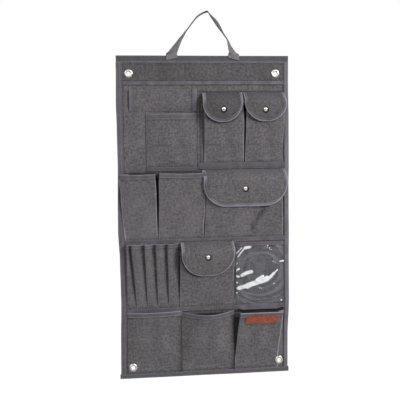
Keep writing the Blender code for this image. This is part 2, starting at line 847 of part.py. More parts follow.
def make_sleeve(materials):
    """Open-ended band sewn along its top and bottom, bound at its two open ends."""
    _, _, right = small_pocket_edges()
    left = INNER_LEFT + SLEEVE_MARGIN
    top = HEADER_TAPE_BOTTOM + SLEEVE_DROP
    steps = 7

    def column_at(x):
        places = [(x, LAYER, top)]
        for k in range(steps + 1):
            rise = math.sin(math.pi * k / steps) ** 0.8 if 0 < k < steps else 0.0
            drop = top + FOLD + (SLEEVE_HEIGHT - 2 * FOLD) * k / steps
            places.append((x, LAYER + SLEEVE_BULGE * rise, drop))
        return [*places, (x, LAYER, top + SLEEVE_HEIGHT)]

    columns = [column_at(left), column_at(right)]
    thick_sheet("sleeve", [[place(*p) for p in c] for c in columns], CANVAS, materials["canvas"])
    for name, edge, inward in (("sleeve_binding_left", left, 1), ("sleeve_binding_right", right, -1)):
        columns = open_edge_tape(column_at(edge), inward)
        thick_sheet(name, [[place(*p) for p in c] for c in columns], TAPE, materials["tape"])


def open_edge_tape(column, inward):
    """Columns of a tape on the sleeve's outside, turned over one open end."""
    outside = []
    last = len(column) - 1
    for k, (x, depth, drop) in enumerate(column):
        before = column[max(k - 1, 0)]
        after = column[min(k + 1, last)]
        run = Vector((after[2] - before[2], after[1] - before[1])).normalized()
        outside.append((x, depth + run.x * HEM_OFFSET, drop - run.y * HEM_OFFSET))
    edge = inward * (GAP + TAPE)
    turned_over = []
    for (x, depth, drop), (_, inside, _) in zip(outside, column):
        turned_over.append((x - edge, (depth + inside) / 2, drop))
    return [
        [(x - edge, depth, drop) for x, depth, drop in column],
        turned_over,
        outside,
        [(x + inward * SLEEVE_TAPE, depth, drop) for x, depth, drop in outside],
    ]


def make_row_1(materials):
    make_sleeve(materials)
    first, _, patch_right = small_pocket_edges()
    patch_left = INNER_LEFT + PATCH_MARGIN
    patch_top = HEADER_TAPE_BOTTOM + SLEEVE_DROP + SLEEVE_HEIGHT + PATCH_DROP
    left_base = ROW_1_BASE + LEFT_BASE_DROP
    patch, section_at = arch_pocket(
        patch_left, patch_right, patch_top, left_base + BASE_TAPE - GAP, PATCH_BULGE
    )
    drops = pocket_drops(patch, PATCH_HEM)
    make_pouch("patch_pocket", section_at, drops, PATCH_HEM, materials, "patch_pocket_hem")
    step = covered_pockets()["wide_pocket"]["left"] - PLEAT
    outline = [
        (patch_left, left_base),
        (step - BASE_TAPE, left_base),
        (step - BASE_TAPE, ROW_1_BASE),
        (INNER_RIGHT, ROW_1_BASE),
        (INNER_RIGHT, ROW_1_BASE + BASE_TAPE),
        (step, ROW_1_BASE + BASE_TAPE),
        (step, left_base + BASE_TAPE),
        (patch_left, left_base + BASE_TAPE),
    ]
    rings = [[place(x, depth, drop) for x, drop in outline] for depth in (TAPE_REAR, EDGE_DEPTH)]
    new_body("row_1_base_tape", swept(rings), materials["tape"])


def make_row_2(materials):
    wide = covered_pockets()["wide_pocket"]
    top = ROW_2_SEAM + TALL_POCKET_DROP
    bottom = ROW_2_BASE + BASE_TAPE - GAP
    left = INNER_LEFT + SIDE_CLEAR
    split = left + TALL_POCKET_WIDTH
    pockets = {
        "tall_pocket_left": gusset_pocket(
            left, split, top + FOLD, bottom, -TALL_POCKET_LEAN, TALL_POCKET_LEAN * 0.75,
            left_depth_share=0.7,
        ),
        "tall_pocket_middle": gusset_pocket(
            split + PLEAT, wide["left"] - PLEAT, top, bottom, FOLD / 2, FOLD
        ),
    }
    for name, pocket in pockets.items():
        section_at = lambda drop, p=pocket: gusset_section(p, drop)
        make_pouch(name, section_at, pocket_drops(pocket), POCKET_HEM, materials, name + "_hem")
    new_strip(
        "row_2_base_tape",
        materials["tape"],
        INNER_LEFT, INNER_RIGHT, TAPE_REAR, EDGE_DEPTH, ROW_2_BASE, ROW_2_BASE + BASE_TAPE,
    )


def cutlery_section(pocket, drop):
    """Places across the five finger-wide slots, whose seams lean at the top."""
    share = pocket_share(pocket, drop)
    steps = 5
    places = []
    seams = [INNER_LEFT + k * CUTLERY_SLOT_WIDTH for k in range(CUTLERY_SLOTS + 1)]
    seams[0] += GAP
    for k in range(1, CUTLERY_SLOTS):
        seams[k] -= CUTLERY_LEAN * share
    for slot in range(CUTLERY_SLOTS):
        left, right = seams[slot] + FOLD / 2, seams[slot + 1] - FOLD / 2
        for k in range(steps + 1):
            rise = math.sin(math.pi * k / steps) ** 0.75 if 0 < k < steps else 0.0
            x = left + (right - left) * k / steps
            places.append((x, LAYER + CUTLERY_BULGE * share**0.55 * rise, drop))
    return places


def make_row_3(materials):
    bottom = ROW_3_BASE + BASE_TAPE - GAP
    top = ROW_3_TOP + EDGE_WRAP
    cutlery = {"top": top, "bottom": bottom, "foot": POCKET_FOOT}
    make_pouch(
        "cutlery_pockets",
        lambda drop: cutlery_section(cutlery, drop),
        pocket_drops(cutlery, CUTLERY_HEM),
        CUTLERY_HEM,
        materials,
        "cutlery_hem",
    )
    clear_left = INNER_RIGHT - CLEAR_POCKET_WIDTH
    layer = PANEL_FRONT + GAP + FILM / 2
    clear, section_at = arch_pocket(
        clear_left, INNER_RIGHT - GAP, top + ROW_3_SPACE, bottom, CLEAR_POCKET_BULGE, layer=layer
    )
    make_pouch(
        "clear_pocket",
        section_at,
        pocket_drops(clear, CLEAR_POCKET_TAPE),
        CLEAR_POCKET_TAPE,
        materials,
        "clear_pocket_tape",
        cloth="film",
        thickness=FILM,
    )
    new_strip(
        "row_3_base_tape",
        materials["tape"],
        INNER_LEFT, INNER_RIGHT, TAPE_REAR, EDGE_DEPTH, ROW_3_BASE, ROW_3_BASE + BASE_TAPE,
    )


def make_row_4(materials):
    bottom = PANEL_HEIGHT - EDGE_WRAP
    left = INNER_LEFT + GAP
    split = left + LOW_LEFT_WIDTH
    right_start = INNER_RIGHT - SIDE_CLEAR - LOW_RIGHT_WIDTH
    forward = Vector((0, -1, 0))
    hole = EYELET_HOLE + EYELET_WALL + GAP
    low_left, low_right = [place(x, LAYER, drop) for x, drop in eyelet_places()[2:]]

    flat, flat_section = arch_pocket(left, split, ROW_4_TOP, bottom, LOW_LEFT_BULGE, LOW_POCKET_FOOT)
    pouch = make_pouch(
        "low_pocket_left", flat_section, pocket_drops(flat), POCKET_HEM, materials, "low_pocket_left_hem"
    )
    cut_holes(pouch, "low_left_hole_cutter", [low_left], hole, forward)

    sagging, sag_section = arch_pocket(
        split + GAP,
        right_start - PLEAT,
        ROW_4_TOP + EDGE_WRAP,
        bottom,
        LOW_MIDDLE_BULGE,
        BINDING_BOTTOM + POCKET_FOOT,
        LOW_MIDDLE_SAG,
    )
    make_pouch(
        "low_pocket_middle",
        sag_section,
        pocket_drops(sagging),
        POCKET_HEM,
        materials,
        "low_pocket_middle_hem",
    )

    boxed = gusset_pocket(
        right_start,
        right_start + LOW_RIGHT_WIDTH,
        ROW_4_TOP,
        bottom,
        LOW_RIGHT_INSET / 2,
        LOW_RIGHT_INSET,
        LOW_POCKET_FOOT,
    )
    pouch = make_pouch(
        "low_pocket_right",
        lambda drop: gusset_section(boxed, drop),
        pocket_drops(boxed),
        POCKET_HEM,
        materials,
        "low_pocket_right_hem",
    )
    cut_holes(pouch, "low_right_hole_cutter", [low_right], hole, forward)
    make_label(boxed, materials)


def make_label(pocket, materials):
    """Bare leather patch on the front of the last pocket."""
    slope = front_slope(pocket)
    normal = Vector((0, -1, -slope)).normalized()
    down = Vector((0, slope, -1)).normalized()
    share = pocket_share(pocket, pocket["top"] + LABEL_DROP)
    left = pocket["left"] + pocket["inset_left"] * share
    right = pocket["right"] - pocket["inset_right"] * share
    middle = (left + right) / 2 + POCKET_CORNER / 2
    start = place(middle, front_depth(pocket, pocket["top"] + LABEL_DROP), pocket["top"] + LABEL_DROP)
    rear = CANVAS / 2 + GAP
    rings = []
    for lift in (rear, rear + LABEL):
        base = start + normal * lift
        half = Vector((LABEL_WIDTH / 2, 0, 0))
        low = base + down * LABEL_HEIGHT
        rings.append([base - half, base + half, low + half, low - half])
    new_body("leather_label", swept(rings), materials["leather"])


def handle_path():
    """(x, height above the top edge, twist from 0 to 1, depth) down the loop's middle."""
    foot = HANDLE_SPAN / 2
    top = HANDLE_HEIGHT
    rear = EDGE_DEPTH + GAP + WEBBING / 2
    front = WEBBING_WIDTH / 2 + 2 * MM
    return [
        (-foot, HANDLE_HINGE, 0.0, rear),
        (-foot, HANDLE_HINGE + HANDLE_STRAIGHT, 0.0, rear),
        (-0.93 * foot, 0.13 * top, 0.2, rear + 2.4 * MM),
        (-0.82 * foot, 0.27 * top, 0.55, rear + 4 * MM),
        (-0.69 * foot, 0.42 * top, 0.85, front * 0.8),
        (-0.55 * foot, 0.54 * top, 1.0, front),
        (-0.36 * foot, 0.72 * top, 1.0, front),
        (-0.16 * foot, 0.89 * top, 1.0, front),
        (0.03 * foot, 0.97 * top, 1.0, front),
        (0.16 * foot, top, 1.0, front),
        (0.29 * foot, 0.915 * top, 1.0, front),
        (0.41 * foot, 0.80 * top, 0.8, front),
        (0.52 * foot, 0.69 * top, 0.7, front),
        (0.65 * foot, 0.54 * top, 0.85, front),
        (0.77 * foot, 0.40 * top, 1.0, front * 0.85),
        (0.88 * foot, 0.24 * top, 0.6, rear + 4 * MM),
        (0.97 * foot, 0.12 * top, 0.22, rear + 2.4 * MM),
        (foot, HANDLE_HINGE + HANDLE_STRAIGHT, 0.0, rear),
        (foot, HANDLE_HINGE, 0.0, rear),
    ]


def make_handle(materials):
    """Two tabs sewn on the top binding, and the loop of webbing that bends above them."""
    near = EDGE_DEPTH + GAP
    far = near + WEBBING
    tab_top = HANDLE_HINGE - WEBBING / 2 - GAP  # clear of the loop's round ends as they turn
    for name, side in (("handle_tab_left", -1), ("handle_tab_right", 1)):
        middle = side * HANDLE_SPAN / 2
        left, right = middle - WEBBING_WIDTH / 2, middle + WEBBING_WIDTH / 2
        low_left = TAB_LENGTH if side < 0 else TAB_LENGTH - TAB_SLANT
        low_right = TAB_LENGTH - TAB_SLANT if side < 0 else TAB_LENGTH
        outline = [(left, -tab_top), (right, -tab_top), (right, low_right), (left, low_left)]
        rings = [[place(x, depth, drop) for x, drop in outline] for depth in (near, far)]
        new_body(name, swept(rings), materials["webbing"])

    pivot = new_pivot("handle_hinge", place(0.0, near + WEBBING / 2, -HANDLE_HINGE))
    path = handle_path()
    centres = [place(x, depth, -height) for x, height, _, depth in path]
    last = len(path) - 1
    sideways = Vector((math.sin(LOOP_YAW), math.cos(LOOP_YAW), 0))
    rings = []
    for k, centre in enumerate(centres):
        run = (centres[min(k + 1, last)] - centres[max(k - 1, 0)]).normalized()
        if min(k, last - k) < 2:
            across = Vector((1, 0, 0))
            face = Vector((0, -1, 0))
        else:
            flat = Vector((abs(run.z), 0, -math.copysign(run.x, run.z))) if run.z else Vector((1, 0, 0))
            turn = path[k][2] * math.pi / 2
            across = (flat.normalized() * math.cos(turn) + sideways * math.sin(turn)).normalized()
            face = run.cross(across).normalized()
            if face.y > 0 and turn < 1.0:
                face = -face
            across = (across - run * across.dot(run)).normalized()
        rings.append((centre, across, face))
    bodies = []
    previous = None
    for k, (centre, across, face) in enumerate(rings):
        if previous is not None and face.dot(previous) < 0:
            face = -face
        previous = face
        half_width, half_thick = WEBBING_WIDTH / 2, WEBBING / 2
        if k in (0, last):
            narrow = half_thick / 2
            below = centre - Vector((0, 0, math.sqrt(half_thick**2 - narrow**2)))
            end = [
                below - across * half_width - face * narrow,
                below + across * half_width - face * narrow,
                below + across * half_width + face * narrow,
                below - across * half_width + face * narrow,
            ]
        if k == 0:
            bodies.append(end)
        bodies.append(
            [
                centre - across * half_width - face * half_thick,
                centre + across * half_width - face * half_thick,
                centre + across * half_width + face * half_thick,
                centre - across * half_width + face * half_thick,
            ]
        )
    bodies.append(end)
    new_body("handle_webbing", in_triangles(swept(bodies)), materials["webbing"], pivot)


def main():
    clear_scene()
    materials = make_materials()
    make_panel(materials)
    make_bindings(materials)
    make_eyelets(materials)
    make_row_1(materials)
    make_row_2(materials)
    make_row_3(materials)
    make_row_4(materials)
    make_covered_pockets(materials)
    make_flaps(materials)
    make_handle(materials)


main()
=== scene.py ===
import math

import bpy
import numpy as np
from mathutils import Matrix, Vector


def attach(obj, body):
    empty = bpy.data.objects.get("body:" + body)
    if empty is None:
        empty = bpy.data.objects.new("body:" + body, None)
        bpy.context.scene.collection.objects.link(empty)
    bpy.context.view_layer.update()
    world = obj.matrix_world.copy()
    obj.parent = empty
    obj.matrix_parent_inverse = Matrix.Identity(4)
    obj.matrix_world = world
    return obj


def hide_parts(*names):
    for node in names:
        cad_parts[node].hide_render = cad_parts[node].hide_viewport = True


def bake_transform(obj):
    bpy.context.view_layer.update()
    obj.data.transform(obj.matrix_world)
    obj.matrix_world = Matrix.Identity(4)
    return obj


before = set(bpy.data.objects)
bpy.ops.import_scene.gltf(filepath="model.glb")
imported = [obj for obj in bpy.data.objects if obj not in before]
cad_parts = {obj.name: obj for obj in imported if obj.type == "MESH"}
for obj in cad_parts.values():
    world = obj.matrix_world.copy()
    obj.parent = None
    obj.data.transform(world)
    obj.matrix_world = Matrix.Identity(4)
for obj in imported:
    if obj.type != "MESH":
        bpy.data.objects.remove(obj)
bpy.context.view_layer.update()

# Everything is laid out in millimetres as (x, depth in front of the back plane, drop below the top edge)
mm = 0.001
eyeletDrop = 44.0  # the frame's origin lies midway between the top eyelets, this far below the top edge
canvasThick = 0.9
tapeThick = 0.6
filmThick = 0.4
onCloth = 0.9  # from the middle of a cloth to the middle of a tape on it
onFilm = 0.6
panelDepth = 1.35  # middle of the back cloth
layerDepth = 2.55  # middle of any cloth sewn on it
tapeDepth = 3.6  # middle of a tape sewn on that
innerLeft = -199.7  # between the two side bindings
innerRight = 204.7
foldWidth = 2.5  # of the flat margin along a cloth's sewn sides
spacing = 3.0  # of a cloth's grid
eyeletPlaces = {
    "eyelet_top_left": (-184.5, eyeletDrop), "eyelet_top_right": (184.5, eyeletDrop),
    "eyelet_bottom_left": (-184.5, 774.0), "eyelet_bottom_right": (191.0, 774.0),
}


def pieceName(node):
    # the visible piece that stands for small_flap_left is smallFlapLeft
    first, *others = node.split("_")
    return first + "".join(word.title() for word in others)


def toRow(points):
    points = np.asarray(points, float)
    return np.stack([points[..., 0], -points[..., 1], eyeletDrop - points[..., 2]], axis=-1) * mm


def smooth(t):
    t = np.clip(t, 0.0, 1.0)
    return t * t * (3.0 - 2.0 * t)


def hump(distance, half):
    return np.exp(-((distance / half) ** 2))


lattice = np.random.RandomState(11).rand(256, 256) * 2.0 - 1.0


def waves(a, b, size, seed):
    # smooth random swell from -1 to 1 whose humps are about this many millimetres across
    turn = 0.6 + 0.37 * seed
    u = (a * math.cos(turn) - b * math.sin(turn)) / size + 19.3 * seed
    v = (a * math.sin(turn) + b * math.cos(turn)) / size + 7.7 * seed
    i, j = np.floor(u).astype(int), np.floor(v).astype(int)
    s, t = smooth(u - i), smooth(v - j)
    low = lattice[i % 256, j % 256] * (1 - s) + lattice[(i + 1) % 256, j % 256] * s
    high = lattice[i % 256, (j + 1) % 256] * (1 - s) + lattice[(i + 1) % 256, (j + 1) % 256] * s
    return low * (1 - t) + high * t


def linearColour(hexCode):
    values = [int(hexCode[k : k + 2], 16) / 255 for k in (1, 3, 5)]
    return tuple(v / 12.92 if v <= 0.04045 else ((v + 0.055) / 1.055) ** 2.4 for v in values) + (1.0,)


def tones(one, other):
    return {"data_type": "RGBA", 6: linearColour(one), 7: linearColour(other)}


def addNode(tree, kind, settings=None, links=None, give=0):
    # hands back one output of the new node
    node = tree.nodes.new("ShaderNode" + kind)
    for key, value in (settings or {}).items():
        if isinstance(key, int) or key in node.inputs:
            node.inputs[key].default_value = value
        else:
            setattr(node, key, value)
    for key, source in (links or {}).items():
        tree.links.new(source, node.inputs[key])
    return node.outputs[give]


def newMaterial(name, look, settings=None):
    material = bpy.data.materials.new(name)
    material.use_nodes = True
    shader = material.node_tree.nodes["Principled BSDF"]
    for key, value in {"Roughness": look["roughness"], **(settings or {})}.items():
        shader.inputs[key].default_value = value
    return material, material.node_tree, shader


bandScale = 0.314159  # at this scale a wave texture has one band to each unit

# Polyester and cotton canvas, plain woven of mixed dark and light grey yarn: a matt, speckled grey
canvasLook = {
    "dark": "#423d40",
    "light": "#7c787b",
    # the pale tone below is also the painted highlight, the dark one the painted shade
    "worn": "#a8a3a7",
    "soiled": "#1d1a1c",
    "threadSpacing": 2.6,  # mm; the real 0.5 mm weave is too fine to show, so it is drawn coarser
    "slubLength": 28.0,  # mm
    "wear": 0.55,
    "roughness": 0.92,
    "sheen": 0.08,
    "bump": 0.35,
}


def addFadeAndPaintedLight(tree, shader, weave, look, colour):
    # the third weave coordinate mixes in the pale tone, for wear, paler dye and painted highlights, or, below
    # nought, the dark tone, for darker dye and painted shade
    fading = addNode(tree, "SeparateXYZ", {}, {"Vector": weave}, "Z")
    for tone, factor in (("worn", look["wear"] / mm), ("soiled", -1.0 / mm)):
        share = addNode(tree, "Math", {"operation": "MULTIPLY", 1: factor}, {0: fading})
        mix = {"data_type": "RGBA", 7: linearColour(look[tone])}
        colour = addNode(tree, "Mix", mix, {0: share, 6: colour}, 2)
    tree.links.new(colour, shader.inputs["Base Color"])


def makeCanvas(look):
    sheen = {"Sheen Weight": look["sheen"], "Sheen Roughness": 0.5}
    material, tree, shader = newMaterial("wovenCanvas", look, sheen)
    weave = addNode(tree, "Attribute", {"attribute_name": "weave"}, give="Vector")
    thread = look["threadSpacing"] * mm
    slub = look["slubLength"] * mm
    yarns = []
    for scale in ((1 / thread, 1 / slub, 1), (1 / slub, 1 / thread, 1)):
        stretched = addNode(tree, "Mapping", {"Scale": scale}, {"Vector": weave})
        grain = {"Scale": 1.0, "Detail": 2.0, "Roughness": 0.6}
        yarns.append(addNode(tree, "TexNoise", grain, {"Vector": stretched}))
    bands = []
    perPair = bandScale / (2 * thread)
    for direction in ("X", "Y"):
        wave = {"bands_direction": direction, "Scale": perPair, "Distortion": 0.6, "Detail": 1.0}
        band = addNode(tree, "TexWave", wave, {"Vector": weave}, "Fac")
        bands.append(addNode(tree, "Math", {"operation": "SUBTRACT", 1: 0.5}, {0: band}))
    # the weave's relief: where both bands are high or both are low the warp lies on top, elsewhere the weft
    relief = addNode(tree, "Math", {"operation": "MULTIPLY"}, {0: bands[0], 1: bands[1]})
    # warp and weft of mixed dark and light fibre cross as faint streaks
    yarn = addNode(tree, "Mix", {"data_type": "FLOAT", 0: 0.5}, {2: yarns[0], 3: yarns[1]})
    patches = addNode(tree, "TexNoise", {"Scale": 170.0, "Detail": 3.0, "Roughness": 0.65}, {"Vector": weave})
    mixed = addNode(tree, "Mix", {"data_type": "FLOAT", 0: 0.6}, {2: yarn, 3: patches})
    share = addNode(tree, "MapRange", {"From Min": 0.34, "From Max": 0.66}, {"Value": mixed})
    colour = addNode(tree, "Mix", tones(look["dark"], look["light"]), {0: share}, 2)
    addFadeAndPaintedLight(tree, shader, weave, look, colour)
    height = addNode(tree, "Math", {"operation": "MULTIPLY_ADD", 1: 2.0}, {0: relief, 2: mixed})
    bump = addNode(tree, "Bump", {"Strength": look["bump"], "Distance": 0.0004}, {"Height": height})
    tree.links.new(bump, shader.inputs["Normal"])
    return material


# Grosgrain tape of polyester, woven with fine cross ribs: smoother and bluer than the canvas, a little shiny
tapeLook = {
    "dark": "#423e44",
    "light": "#68646c",
    # the pale tone below is also the painted highlight, the dark one the painted shade
    "worn": "#b3adb9",
    "soiled": "#1f1c21",
    "ribSpacing": 1.4,  # mm; real ribs are about 0.5 mm and wouldn't show
    "wear": 0.8,
    "roughness": 0.7,
    "sheen": 0.12,
    "bump": 0.3,
}
# Polyester webbing for the handle, woven with heavier cross ribs
webbingLook = {
    "dark": "#585359",
    "light": "#928c93",
    # the dark tone below is also the painted shade on the handle
    "worn": "#a09aa2",
    "soiled": "#2a262c",
    "ribSpacing": 2.4,
    "wear": 0.4,
    "roughness": 0.75,
    "sheen": 0.1,
    "bump": 0.6,
}


def makeRibbed(name, look):
    sheen = {"Sheen Weight": look["sheen"], "Sheen Roughness": 0.4}
    material, tree, shader = newMaterial(name, look, sheen)
    weave = addNode(tree, "Attribute", {"attribute_name": "weave"}, give="Vector")
    scale = bandScale / (look["ribSpacing"] * mm)
    wave = {"bands_direction": "X", "Scale": scale, "Distortion": 1.0, "Detail": 2.0}
    ribs = addNode(tree, "TexWave", wave, {"Vector": weave}, "Fac")
    grain = addNode(tree, "TexNoise", {"Scale": 130.0, "Detail": 4.0, "Roughness": 0.6}, {"Vector": weave})
    mixed = addNode(tree, "Mix", {"data_type": "FLOAT", 0: 0.55}, {2: ribs, 3: grain})
    share = addNode(tree, "MapRange", {"From Min": 0.25, "From Max": 0.75}, {"Value": mixed})
    colour = addNode(tree, "Mix", tones(look["dark"], look["light"]), {0: share}, 2)
    addFadeAndPaintedLight(tree, shader, weave, look, colour)
    bump = addNode(tree, "Bump", {"Strength": look["bump"], "Distance": 0.0004}, {"Height": ribs})
    tree.links.new(bump, shader.inputs["Normal"])
    return material


# Nickel plated brass, stamped and polished: bright, slightly warm, with fine scratches
nickelLook = {"colour": "#d4d0c9", "roughness": 0.2}
# The snap caps are harder polished; a dark ring round the bright dome is painted shade
capLook = {"colour": "#ece8e1", "roughness": 0.1}
capShadowRingLook = {"colour": "#37332f", "roughness": 0.4}


def makeNickel(name, look):
    metal = {"Base Color": linearColour(look["colour"]), "Metallic": 1.0}
    material, tree, shader = newMaterial(name, look, metal)
    place = addNode(tree, "TexCoord", give="Object")
    marks = addNode(tree, "TexNoise", {"Scale": 900.0, "Detail": 3.0, "Roughness": 0.6}, {"Vector": place})
    finest, coarsest = 0.7 * look["roughness"], 1.7 * look["roughness"]
    span = {"From Min": 0.3, "From Max": 0.7, "To Min": finest, "To Max": coarsest}
    rough = addNode(tree, "MapRange", span, {"Value": marks})
    tree.links.new(rough, shader.inputs["Roughness"])
    bump = addNode(tree, "Bump", {"Strength": 0.08, "Distance": 0.0002}, {"Height": marks})
    tree.links.new(bump, shader.inputs["Normal"])
    return material


# Vegetable tanned cowhide, smooth side out, unevenly darkened
leatherLook = {"colour": "#a4523a", "dark": "#7c3a28", "grain": 1.3, "roughness": 0.55}  # grain in mm


def makeLeather(look):
    material, tree, shader = newMaterial("tannedLeather", look)
    weave = addNode(tree, "Attribute", {"attribute_name": "weave"}, give="Vector")
    cells = {"Scale": 1.0 / (look["grain"] * mm), "feature": "DISTANCE_TO_EDGE"}
    grain = addNode(tree, "TexVoronoi", cells, {"Vector": weave})
    clouds = addNode(tree, "TexNoise", {"Scale": 90.0, "Detail": 5.0, "Roughness": 0.6}, {"Vector": weave})
    share = addNode(tree, "MapRange", {"From Min": 0.35, "From Max": 0.62}, {"Value": clouds})
    colour = addNode(tree, "Mix", tones(look["dark"], look["colour"]), {0: share}, 2)
    tree.links.new(colour, shader.inputs["Base Color"])
    bump = addNode(tree, "Bump", {"Strength": 0.25, "Distance": 0.0002}, {"Height": grain})
    tree.links.new(bump, shader.inputs["Normal"])
    return material


# Clear soft PVC film, calendered: see-through with hard, rippled highlights, partly painted, and a faint grey
# haze
filmLook = {"tint": "#fdfdfe", "haze": "#8a8c93", "whitened": "#fbfcff", "roughness": 0.09, "gloss": 0.1}


def makeFilm(look):
    material, tree, shader = newMaterial("clearFilm", look, {"Specular IOR Level": 1.0})
    clear = addNode(tree, "BsdfTransparent", {"Color": linearColour(look["tint"])})
    edge = addNode(tree, "LayerWeight", {"Blend": 0.3}, give="Fresnel")
    share = addNode(tree, "MapRange", {"To Min": look["gloss"], "To Max": 0.35}, {"Value": edge})
    # where it is creased the vinyl is painted white, as stress whitening and painted highlight
    weave = addNode(tree, "Attribute", {"attribute_name": "weave"}, give="Vector")
    crease = addNode(tree, "SeparateXYZ", {}, {"Vector": weave}, "Z")
    white = addNode(tree, "Math", {"operation": "MULTIPLY", 1: 1.0 / mm, "use_clamp": True}, {0: crease})
    colour = addNode(tree, "Mix", tones(look["haze"], look["whitened"]), {0: white}, 2)
    tree.links.new(colour, shader.inputs["Base Color"])
    share = addNode(tree, "Math", {"operation": "ADD", "use_clamp": True}, {0: share, 1: white})
    mixed = addNode(tree, "MixShader", {}, {0: share, 1: clear, 2: shader.outputs[0]})
    tree.links.new(mixed, tree.nodes["Material Output"].inputs["Surface"])
    return material


# Bonded polyester sewing thread, slightly lighter than the tape and a little glossy
threadLook = {"colour": "#928c97", "dark": "#6d6872", "roughness": 0.45}
# The seams over the flaps are sewn with a near black one
darkThreadLook = {"colour": "#322e34", "dark": "#1f1c21", "roughness": 0.5}


def makeThread(name, look):
    material, tree, shader = newMaterial(name, look)
    place = addNode(tree, "TexCoord", give="Object")
    twist = addNode(tree, "TexNoise", {"Scale": 1500.0, "Detail": 1.0}, {"Vector": place})
    colour = addNode(tree, "Mix", tones(look["dark"], look["colour"]), {0: twist}, 2)
    tree.links.new(colour, shader.inputs["Base Color"])
    return material


# (material, slot)
finishes = {
    "canvas": (makeCanvas(canvasLook), "canvas"),
    "tape": (makeRibbed("grosgrainTape", tapeLook), "binding_tape"),
    "webbing": (makeRibbed("handleWebbing", webbingLook), "webbing"),
    "nickel": (makeNickel("nickelPlatedBrass", nickelLook), "nickel"),
    "cap": (makeNickel("polishedNickelPlate", capLook), "nickel"),
    "tarnish": (makeNickel("paintedCapShadowRing", capShadowRingLook), "nickel"),
    "leather": (makeLeather(leatherLook), "leather"),
    "film": (makeFilm(filmLook), "clear_film"),
    "thread": (makeThread("bondedThread", threadLook), "binding_tape"),
    "darkThread": (makeThread("darkBondedThread", darkThreadLook), "binding_tape"),
}
print("materials made")


# Meshes

def newPiece(name, points, faces, finish, body, replaced=(), weave=None, sharp=50.0):
    material, slotName = finishes[finish]
    mesh = bpy.data.meshes.new(name)
    mesh.from_pydata(toRow(points).tolist(), [], [tuple(f) for f in faces])
    mesh.materials.append(material)
    if weave is not None:
        attribute = mesh.attributes.new("weave", "FLOAT_VECTOR", "POINT")
        attribute.data.foreach_set("vector", np.asarray(weave, np.float32).ravel() * mm)
    mesh.shade_smooth()
    mesh.set_sharp_from_angle(angle=math.radians(sharp))
    piece = bpy.data.objects.new(name, mesh)
    bpy.context.scene.collection.objects.link(piece)
    if body:
        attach(piece, body)
    if replaced:
        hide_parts(*replaced)
    return piece


def unit(vectors):
    return vectors / np.maximum(np.linalg.norm(vectors, axis=-1, keepdims=True), 1e-9)


def runAlong(path):
    # distance along a path at each of its points
    return np.concatenate([[0.0], np.cumsum(np.linalg.norm(np.diff(path, axis=0), axis=1))])


def thickGrid(name, points, thickness, finish, body, replaced, weave, keep=None, sharp=50.0, behind=False):
    # a cloth of even thickness about a grid of points; keep says which of the grid's squares are cloth
    rows, columns = points.shape[:2]
    count = rows * columns
    out = unit(np.cross(np.gradient(points, axis=0), np.gradient(points, axis=1))) * thickness / 2
    index = np.arange(count).reshape(rows, columns)
    squares = np.stack([index[:-1, :-1], index[1:, :-1], index[1:, 1:], index[:-1, 1:]], axis=-1)
    squares = squares[keep] if keep is not None else squares.reshape(-1, 4)
    edges = np.concatenate([np.stack([squares[:, k], squares[:, (k + 1) % 4]], axis=1) for k in range(4)])
    one, other = edges[:, 0] * count + edges[:, 1], edges[:, 1] * count + edges[:, 0]
    rim = edges[~np.isin(one, other)]
    sides = np.stack([rim[:, 1], rim[:, 0], rim[:, 0] + count, rim[:, 1] + count], axis=1)
    faces = np.concatenate([squares, squares[:, ::-1] + count, sides])
    both = np.concatenate([(points + out).reshape(-1, 3), (points - out).reshape(-1, 3)])
    front = np.array(weave, float).reshape(-1, 3)
    rear = front.copy()
    if not behind:
        # the dark marks are painted shade and darker dye
        rear[:, 2] = np.maximum(rear[:, 2], 0.0)  # the dark marks are on the front side only
    weave = np.concatenate([front, rear])
    used = np.zeros(2 * count, bool)
    used[faces.ravel()] = True
    renumber = np.cumsum(used) - 1
    return newPiece(name, both[used], renumber[faces].tolist(), finish, body, replaced, weave[used], sharp)


def normalOf(surface, a, b):
    across = surface(a + 0.6, b) - surface(a - 0.6, b)
    down = surface(a, b + 0.6) - surface(a, b - 0.6)
    return unit(np.cross(down, across))


def lifted(surface, a, b, lift):
    # places this far out from the surface's middle
    a, b, lift = np.broadcast_arrays(np.asarray(a, float), np.asarray(b, float), lift)
    return surface(a, b) + normalOf(surface, a, b) * lift[..., None]


def lines(start, end, step):
    return np.linspace(start, end, max(2, int(round(abs(end - start) / step)) + 1))


def straight(start, end, step=spacing):
    count = len(lines(0, max(abs(end[0] - start[0]), abs(end[1] - start[1])), step))
    t = np.linspace(0, 1, count)[:, None]
    return np.asarray(start, float) * (1 - t) + np.asarray(end, float) * t


def unevenDye(a, b):
    streaks = 0.07 * waves(0.4 * a, b, 14.0, 5) + 0.06 * waves(0.3 * a, b, 7.0, 6)
    return 0.1 * waves(a, 0.35 * b, 20.0, 4) + streaks


def paintedShade(soil, points, a, b, folds):
    # painted shade: dark lines along the seams, painted shadows in given places, an even shift over all, and
    # on gussets that turn in away from the light
    seams = sum(hump(a - at, soil["reach"]) for at in soil["across"])
    seams = seams + sum(hump(b - at, soil["reach"]) for at in soil["down"])
    dark = soil["depth"] * np.clip(seams, 0.0, 1.0) + soil.get("all", 0.0)
    if "cover" in soil:
        dark = dark + soil["cover"](points)
    if len(folds) == 2:
        for side, depth in zip((folds[0] - a, a - folds[1]), soil["gussets"]):
            dark = dark + depth * smooth((side - 0.5) / 2.5)
    return dark


